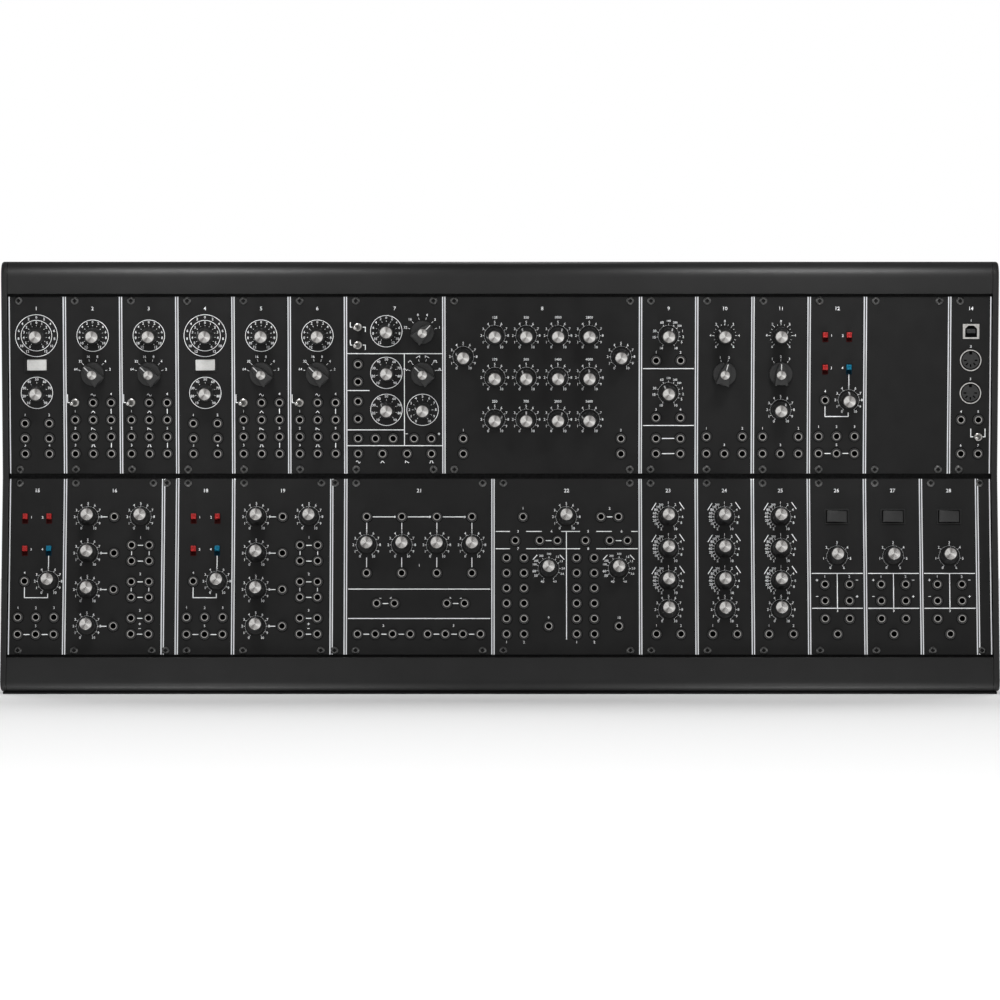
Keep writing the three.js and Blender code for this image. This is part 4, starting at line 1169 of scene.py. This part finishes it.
def faceplate(width, places):
    height, thickness, gap = valuesOf(caseSettings, "panelHeight panelThickness panelSideGap")
    side = gap / 2
    inner = side + moduleSettings["stripInset"]
    outer = inner + moduleSettings["stripWidth"]
    plate = boxPiece("plate", (side, 0, -thickness), (width - side, height, 0))
    startEdit(plate)
    for edge in (inner, outer):
        for x in (edge, width - edge):
            selectAll()
            bpy.ops.mesh.bisect(plane_co=(x, 0, 0), plane_no=(1, 0, 0))
    endEdit()
    cutters = [copyTo(holes[kind], Matrix.Translation(spotOf(width, *place[:2])))
               for kind in holes for place in places.get(kind, [])]
    if cutters:
        cutWith(plate, joinPieces("cutters", cutters))
    roundEdges(plate, moduleSettings["panelRound"], angle=60)
    dress(plate, "panel", "edge")
    paintFaces(plate, 1, lambda c, n: n.z > 0.9 and inner < min(c.x, width - c.x) < outer)
    return plate


def moduleBoard(width):
    behind, thickness, low, side = valuesOf(moduleSettings, "boardBehind boardThickness boardEnd boardSide")
    chipWidth, chipHeight, chipRise = moduleSettings["chipSize"]
    postWidth, postHeight = moduleSettings["postSize"]
    front, high, middle = -caseSettings["panelThickness"] - behind, caseSettings["panelHeight"] - low, width / 2
    board = boxPiece("board", (side, low, front - thickness), (width - side, high, front))
    roundEdges(board, moduleSettings["boardRound"], 1)
    dress(board, "board", "chip")
    parts = [board]
    for share in moduleSettings["chips"]:
        spot = low + share * (high - low)
        chip = boxPiece("chip", (middle - chipWidth / 2, spot, front - thickness - chipRise),
                        (middle + chipWidth / 2, spot + chipHeight, front - 1))
        roundEdges(chip, moduleSettings["chipRound"], 1)
        dress(chip, "chip")
        parts.append(chip)
    post = boxPiece("post", (middle - postWidth / 2, low, front - 0.5),
                    (middle + postWidth / 2, low + postHeight, -jackSettings["depth"] - 0.4))
    roundEdges(post, moduleSettings["postRound"], 1)
    dress(post, "black")
    return joinPieces("board", parts + [post])


# Printed lines, dials, numbers and wave symbols, all flat in the plane of the panel

printSettings = {
    "rule": 0.6, "ring": 0.4, "arc": 0.08, "tick": 0.28, "fineTick": 0.8, "mark": 0.4, "overlap": 0.6,
    "digit": 2.6, "longWord": 0.8, "title": 3.8, "weight": 0.014, "sunk": 0.02, "rise": 0.04,
}
waveShapes = {
    "sine": [[(-1.5, 0), (-1.15, 0.55), (-0.75, 0.8), (-0.35, 0.55), (0, 0), (0.35, -0.55), (0.75, -0.8),
              (1.15, -0.55), (1.5, 0)]],
    "triangle": [[(-1.3, -0.7), (0, 0.7), (1.3, -0.7)]],
    "saw": [[(-1.3, -0.7), (-1.3, 0.8), (1.3, -0.7)]],
    "ramp": [[(-1.3, -0.7), (1.3, 0.8), (1.3, -0.7)]],
    "square": [[(-1.5, -0.7), (-0.8, -0.7), (-0.8, 0.7), (0.8, 0.7), (0.8, -0.7), (1.5, -0.7)]],
    "pulse": [[(-1.5, -0.7), (-0.4, -0.7), (-0.4, 0.7), (0.4, 0.7), (0.4, -0.7), (1.5, -0.7)]],
    "plus": [[(-0.75, 0), (0.75, 0)], [(0, -0.75), (0, 0.75)]],
    "minus": [[(-0.75, 0), (0.75, 0)]],
    "arrow": [[(-0.7, 0.7), (0.3, 0), (-0.7, -0.7)]],
}
bothWays = [("0", 0)] + [(str(n), sign * 25 * n) for n in range(1, 7) for sign in (-1, 1)]
bothWaysTwos = [("0", 0)] + [(str(2 * n), sign * 25 * n) for n in range(1, 7) for sign in (-1, 1)]
zeroToTen = evenly("0 1 2 3 4 5 6 7 8 9 10", -150, 30)
tensOfPercent = evenly("10 20 30 40 50 60 70 80 90", -140, 35)
times = evenly("2 5 10 20 40 60 80 100 200", -150, 15) + evenly("1 2 4 6", 0, 30) + [("8", 115), ("10", 150)]
delays = [("40", -155), ("50", -120), ("60", -101), ("100", -74), ("200", -58), ("300", -30), ("500", 2),
          ("1.2", 37), ("1.5", 60), ("2.0", 90), ("3.0", 112), ("4.0", 155)]
bands = [("10", -150), ("15", -97), ("30", -72), ("60", -27), ("100", 0), ("200", 27), ("500", 48), ("1", 72),
         ("2", 95), ("5", 116), ("10", 150)]
gains = evenly("0 1 2 3 4 5 6", -150, 50)
voltages = [("0", 0), ("2", -37), ("2", 37), ("4", -90), ("4", 90), ("6", -142), ("6", 142)]

# Each dial: ring radii, arc's half angle, labels and their radius, tick radii
dialShapes = {
    "wide": ([15.2, 11.1], 180, [(bothWaysTwos, 13.2), (bothWays, 9.35)], (6.9, 7.6)),
    "ring": ([11.4], 180, [(bothWaysTwos, 9.7)], (6.9, 7.7)),
    "percent": ([11.4], 180, [(tensOfPercent, 9.7)], (6.8, 7.7)),
    "ringTen": ([11.4], 180, [(zeroToTen, 9.6)], (6.8, 7.7)),
    "plain": ([7.6], 150, [(zeroToTen, 9.7)], (7.7, 8.5)),
    "time": ([7.6], 150, [(times, 10.3)], (7.7, 8.7)),
    "delay": ([7.6], 150, [(delays, 10.6)], (7.7, 8.8)),
    "band": ([7.6], 150, [(bands, 10.6)], (7.7, 8.6)),
    "amplifier": ([7.6], 150, [(gains, 9.9)], (7.7, 8.7)),
    "fixedVoltage": ([], 0, [(voltages, 10.3)], (7.6, 9)),
    "range": ([], 0, [(evenly("64 32 16 8 4 2", -75, 30), 12.8)], (9.3, 10.8)),
    "octave": ([], 0, [(evenly("32 16 8 4 2 1", -75, 30), 12.8)], (9.3, 10.8)),
    "wave": ([], 0, [([("", turn) for shape, turn in waveTurns], 12.8)], (9.3, 10.8)),
    "highPass": ([], 0, [(evenly("1 2", -15, 30), 12.2)], (9.2, 10.4)),
    "lowPass": ([], 0, [(evenly("1 2 3", -30, 30), 12.4)], (9.2, 10.6)),
}
fineTicks = {"fixedVoltage": [-127, -112, -73, -55, -18, 18, 55, 73, 112, 127]}
wordMasters = {}


def makeInk():
    bpy.ops.mesh.primitive_plane_add(size=1, location=(0, 0, 0))
    sheet = named("ink")
    startEdit(sheet)
    bpy.ops.mesh.subdivide(number_cuts=1)
    bpy.ops.mesh.dissolve_limited(angle_limit=0.01)
    endEdit()
    return sheet


def inkLine(points, width):
    strokes = []
    for start, end in zip(points, points[1:]):
        start, end = Vector(start).to_3d(), Vector(end).to_3d()
        way = end - start
        turn = Matrix.Rotation(math.atan2(way.y, way.x), 4, "Z")
        size = Matrix.Diagonal((way.length + width * printSettings["overlap"], width, 1, 1))
        strokes.append(copyTo(ink, Matrix.Translation((start + end) / 2) @ turn @ size))
    return strokes


def inkArc(radius, width, halfAngle):
    inside, outside = radius - width / 2, radius + width / 2
    bpy.ops.mesh.primitive_circle_add(vertices=72, radius=inside, fill_type="NOTHING", location=(0, 0, 0))
    arc = named("arc")
    startEdit(arc)
    extrude()
    bpy.ops.transform.resize(value=(outside / inside, outside / inside, 1), center_override=(0, 0, 0))
    pickFaces(arc, lambda centre, normal: abs(math.degrees(math.atan2(centre.x, centre.y))) > halfAngle)
    bpy.ops.mesh.delete(type="FACE")
    endEdit(turnOut=True)
    if arc.data.polygons[0].normal.z < 0:
        arc.data.flip_normals()
    return arc


def inkWord(word, size, spot):
    if (word, size) not in wordMasters:
        bpy.ops.object.text_add(location=(0, 0, 0))
        text = bpy.context.object
        text.data.body, text.data.size, text.data.offset = word, size, printSettings["weight"] * size
        text.data.align_x = text.data.align_y = "CENTER"
        text.data.resolution_u = 2
        activate(text)
        bpy.ops.object.convert(target="MESH")
        wordMasters[(word, size)] = bpy.context.object
    return copyTo(wordMasters[(word, size)], Matrix.Translation(spot))


def makeDial(kind):
    digit, longWord, tick, fineTick = valuesOf(printSettings, "digit longWord tick fineTick")
    radii, halfAngle, labels, (tickStart, tickEnd) = dialShapes[kind]
    line = printSettings["ring" if halfAngle == 180 else "arc"]
    parts = [inkArc(radius, line, halfAngle) for radius in radii]
    for words, radius in labels:
        for word, angle in words:
            way = wayOf(angle)
            if word:
                size = digit * (longWord if len(word) > 2 else 1)
                parts.append(inkWord(word, size, (way * radius).to_3d()))
            if radius == labels[-1][1]:
                parts += inkLine([way * tickStart, way * tickEnd], tick)
    for angle in fineTicks.get(kind, []):
        way = wayOf(angle)
        parts += inkLine([way * tickStart, way * (tickStart + fineTick)], tick * fineTick)
    return joinPieces("dial", parts)


ink = makeInk()
dials = {kind: makeDial(kind) for kind in dialShapes}
print("dials drawn:", len(dials))


def modulePrint(width, places, number):
    rule, mark, digit, title, sunk, rise = valuesOf(printSettings, "rule mark digit title sunk rise")
    parts = []
    for x, y, *dial in places.get("knobs", []) + places.get("selectors", []):
        parts.append(copyTo(dials[dial[0] if dial else "plain"], Matrix.Translation(spotOf(width, x, y))))
    for line in places.get("lines", []):
        parts += inkLine([spotOf(width, x, y) for x, y in line], rule)
    for shape, x, y in places.get("symbols", []):
        for line in waveShapes[shape]:
            parts += inkLine([spotOf(width, x, y) + Vector(point).to_3d() for point in line], mark)
    captions = [(str(point), x, y) for point, (x, y) in enumerate(places.get("captions", []), 1)]
    for word, x, y in places.get("words", []) + captions:
        parts.append(inkWord(word, digit, spotOf(width, x, y)))
    parts.append(inkWord(str(number), title, spotOf(width, 0.5, moduleSettings["titleHeight"])))
    sheet = joinPieces("print", parts)
    moveMesh(sheet, Matrix.Translation((0, 0, -sunk)))
    applyModifier(sheet, "SOLIDIFY", thickness=sunk + rise, offset=1)
    dress(sheet, "ink")
    return sheet


def makeModule(place, number, name, units, places={}, angles={}, moving={}):
    width = units * caseSettings["panelPitch"]
    sheets = {"faceplate": faceplate(width, places)}
    if places:
        sheets.update(board=moduleBoard(width), print=modulePrint(width, places, number))
    for sheet in sheets.values():
        moveMesh(sheet, place)
    settle(name + "_faceplate", [sheets["faceplate"]], name)
    if places:
        settle(name + "_board", [sheets["board"]])
        settle(name + "_print", [sheets["print"]])

    side = screwSettings["narrowSide"] if units == 2 else screwSettings["side"]
    columns = [side] if units < 10 else [side, width - side]
    ends = [screwSettings["end"], caseSettings["panelHeight"] - screwSettings["end"]]
    screws = [copyTo(masters["screws"], place @ Matrix.Translation((x, y, 0))) for x in columns for y in ends]
    settle(name + "_screws", screws)

    jacks, controls = [], []
    for kind in controlKinds:
        for index, spot in enumerate(places.get(kind, [])):
            at = place @ Matrix.Translation(spotOf(width, *spot[:2]))
            seat = masters.get(kind[:-1] + "Seats")
            if seat:
                controls.append(copyTo(seat, at))
            piece = copyTo(masters[kind], poseOf(kind, index, angles))
            # The cap's UV is written after the turn, so its painted highlight stays put wherever the knob
            # points
            if kind in ("knobs", "selectors"):
                flatUv(piece)
            moveMesh(piece, at)
            node = moving.get((kind, index))
            if node:
                settle(node + "_finished", [piece], node, node)
            elif kind == "jacks":
                jacks.append(piece)
            else:
                controls.append(piece)
    if jacks:
        settle(name + "_jacks", jacks)
    if controls:
        settle(name + "_controls", controls)


def makeRow(row, modules, first):
    left = 0
    for number, module in enumerate(modules, first):
        makeModule(rowMatrices[row] @ Matrix.Translation((left, 0, 0)), number, *module)
        left += module[1] * caseSettings["panelPitch"]
    print(row, "row finished:", len(modules), "modules")


makeRow("upper", upperModules, 1)
makeRow("lower", lowerModules, len(upperModules) + 1)
for master in [ink, *masters.values(), *holes.values(), *dials.values(), *wordMasters.values()]:
    bpy.data.objects.remove(master)


# Floor, light and camera

studioSettings = {
    "floorSize": 12,
    "floorColour": 0.85,
    "floorGlow": 0.06,
    "cameraDistance": 4.135,
    "cameraHeight": 0.14,
    "viewWidth": 0.7234,
    "sensor": 36,
    "worldLight": 0.5,
    "backdropGlow": 1,
    "mirrored": [(0, 0.95), (0.3, 1), (0.55, 0.25)],
    "sunStrength": 1.75,
    "sunAngle": 50,
    "sunHeight": 42,
    "softboxPower": 16,
    "bendPower": 0.34,
    "ridgePower": 0.05,
    "bendSize": (0.16, 0.08),
}


def makeFloor():
    bpy.ops.mesh.primitive_plane_add(size=studioSettings["floorSize"], location=(0, 0, 0))
    floor = named("studio_floor")
    material, tree, shader = newFinish("studioFloor", studioSettings["floorColour"], 0.9, specular=0)
    path = addNode(tree, "LightPath").outputs
    seen = maths(tree, "MAXIMUM", path["Is Camera Ray"], path["Is Glossy Ray"])
    glow = maths(tree, "MULTIPLY", seen, studioSettings["floorGlow"])
    shader.inputs["Emission Color"].default_value = rgba(1)
    tree.links.new(glow, shader.inputs["Emission Strength"])
    floor.data.materials.append(material)


def lightWorld():
    world = bpy.data.worlds.new("studioWorld")
    bpy.context.scene.world = world
    world.use_nodes = True
    tree = world.node_tree
    path = addNode(tree, "LightPath").outputs
    mirrored = maths(tree, "MAXIMUM", path["Is Glossy Ray"], path["Is Transmission Ray"])
    # What is mirrored is near white at the horizon and dims towards the ceiling
    parts = addNode(tree, "SeparateXYZ", {"Vector": addNode(tree, "TexCoord").outputs["Object"]})
    glow = addNode(tree, "ValToRGB", {"Fac": parts.outputs["Z"]})
    stops = glow.color_ramp.elements
    for index, (height, level) in enumerate(studioSettings["mirrored"]):
        stop = stops[index] if index < 2 else stops.new(height)
        stop.position, stop.color = height, rgba(level)
    around = addNode(tree, "MapRange", {
        "Value": mirrored, "To Min": studioSettings["worldLight"], "To Max": glow.outputs["Color"]})
    strength = addNode(tree, "MapRange", {
        "Value": path["Is Camera Ray"], "To Min": around.outputs["Result"],
        "To Max": studioSettings["backdropGlow"]})
    background = tree.nodes["Background"]
    background.inputs["Color"].default_value = rgba(1)
    tree.links.new(strength.outputs["Result"], background.inputs["Strength"])


def addLamp(name, place, aim, size, power, spread=80, mirrored=True, blockers=None):
    bpy.ops.object.light_add(type="AREA", location=place)
    lamp = named(name)
    lamp.data.shape = "RECTANGLE"
    lamp.data.size, lamp.data.size_y = size
    lamp.data.energy = power
    lamp.data.spread = math.radians(spread)
    lamp.visible_camera = False
    lamp.visible_glossy = mirrored
    lamp.light_linking.blocker_collection = blockers
    lamp.rotation_euler = (Vector(aim) - Vector(place)).to_track_quat("-Z", "Y").to_euler()


def addSun():
    bpy.ops.object.light_add(type="SUN", location=(0, 2, 2))
    sun = named("back_sun")
    sun.data.energy = studioSettings["sunStrength"]
    sun.data.angle = math.radians(studioSettings["sunAngle"])
    sun.rotation_euler = (math.radians(studioSettings["sunHeight"] - 90), 0, 0)
    sun.visible_glossy = False


def addCamera():
    distance, height, width, sensor = valuesOf(studioSettings, "cameraDistance cameraHeight viewWidth sensor")
    front = sidePoint("upper", 0, 0)[1] / 1000
    bpy.ops.object.camera_add(location=(0, front - distance, height), rotation=(math.radians(90), 0, 0))
    camera = named("photo_camera")
    camera.data.sensor_width = sensor
    camera.data.lens = sensor * (distance - 0.01) / width
    bpy.context.scene.camera = camera


def lightStage():
    size, softbox, bend, ridge = valuesOf(studioSettings, "bendSize softboxPower bendPower ridgePower")
    addLamp("front_softbox", (-0.2, -2.5, 1.1), (0, 0, 0.15), (2.4, 1.2), softbox, 180, mirrored=False)
    for side in (-1, 1):
        addLamp("bend_light", (side * 0.24, -0.32, 0.56), (side * 0.23, -0.02, 0.3), size, bend)
    # The foot's highlight comes from below, so the floor doesn't block it
    pieces = bpy.data.collections.new("synthesizer_pieces")
    for piece in bpy.data.objects:
        if piece.type == "MESH" and piece.name != "studio_floor":
            pieces.objects.link(piece)
    for side in (-1, 1):
        addLamp("foot_light", (side * 0.24, -0.22, -0.34), (side * 0.23, -0.055, 0.005), size, bend,
                blockers=pieces)
    addLamp("ridge_light", (0, 0.35, 0.62), (0, -0.02, 0.3), size, ridge)


makeFloor()
lightWorld()
lightStage()
addSun()
addCamera()
bpy.context.scene.view_settings.view_transform = "Standard"

print("scene finished")
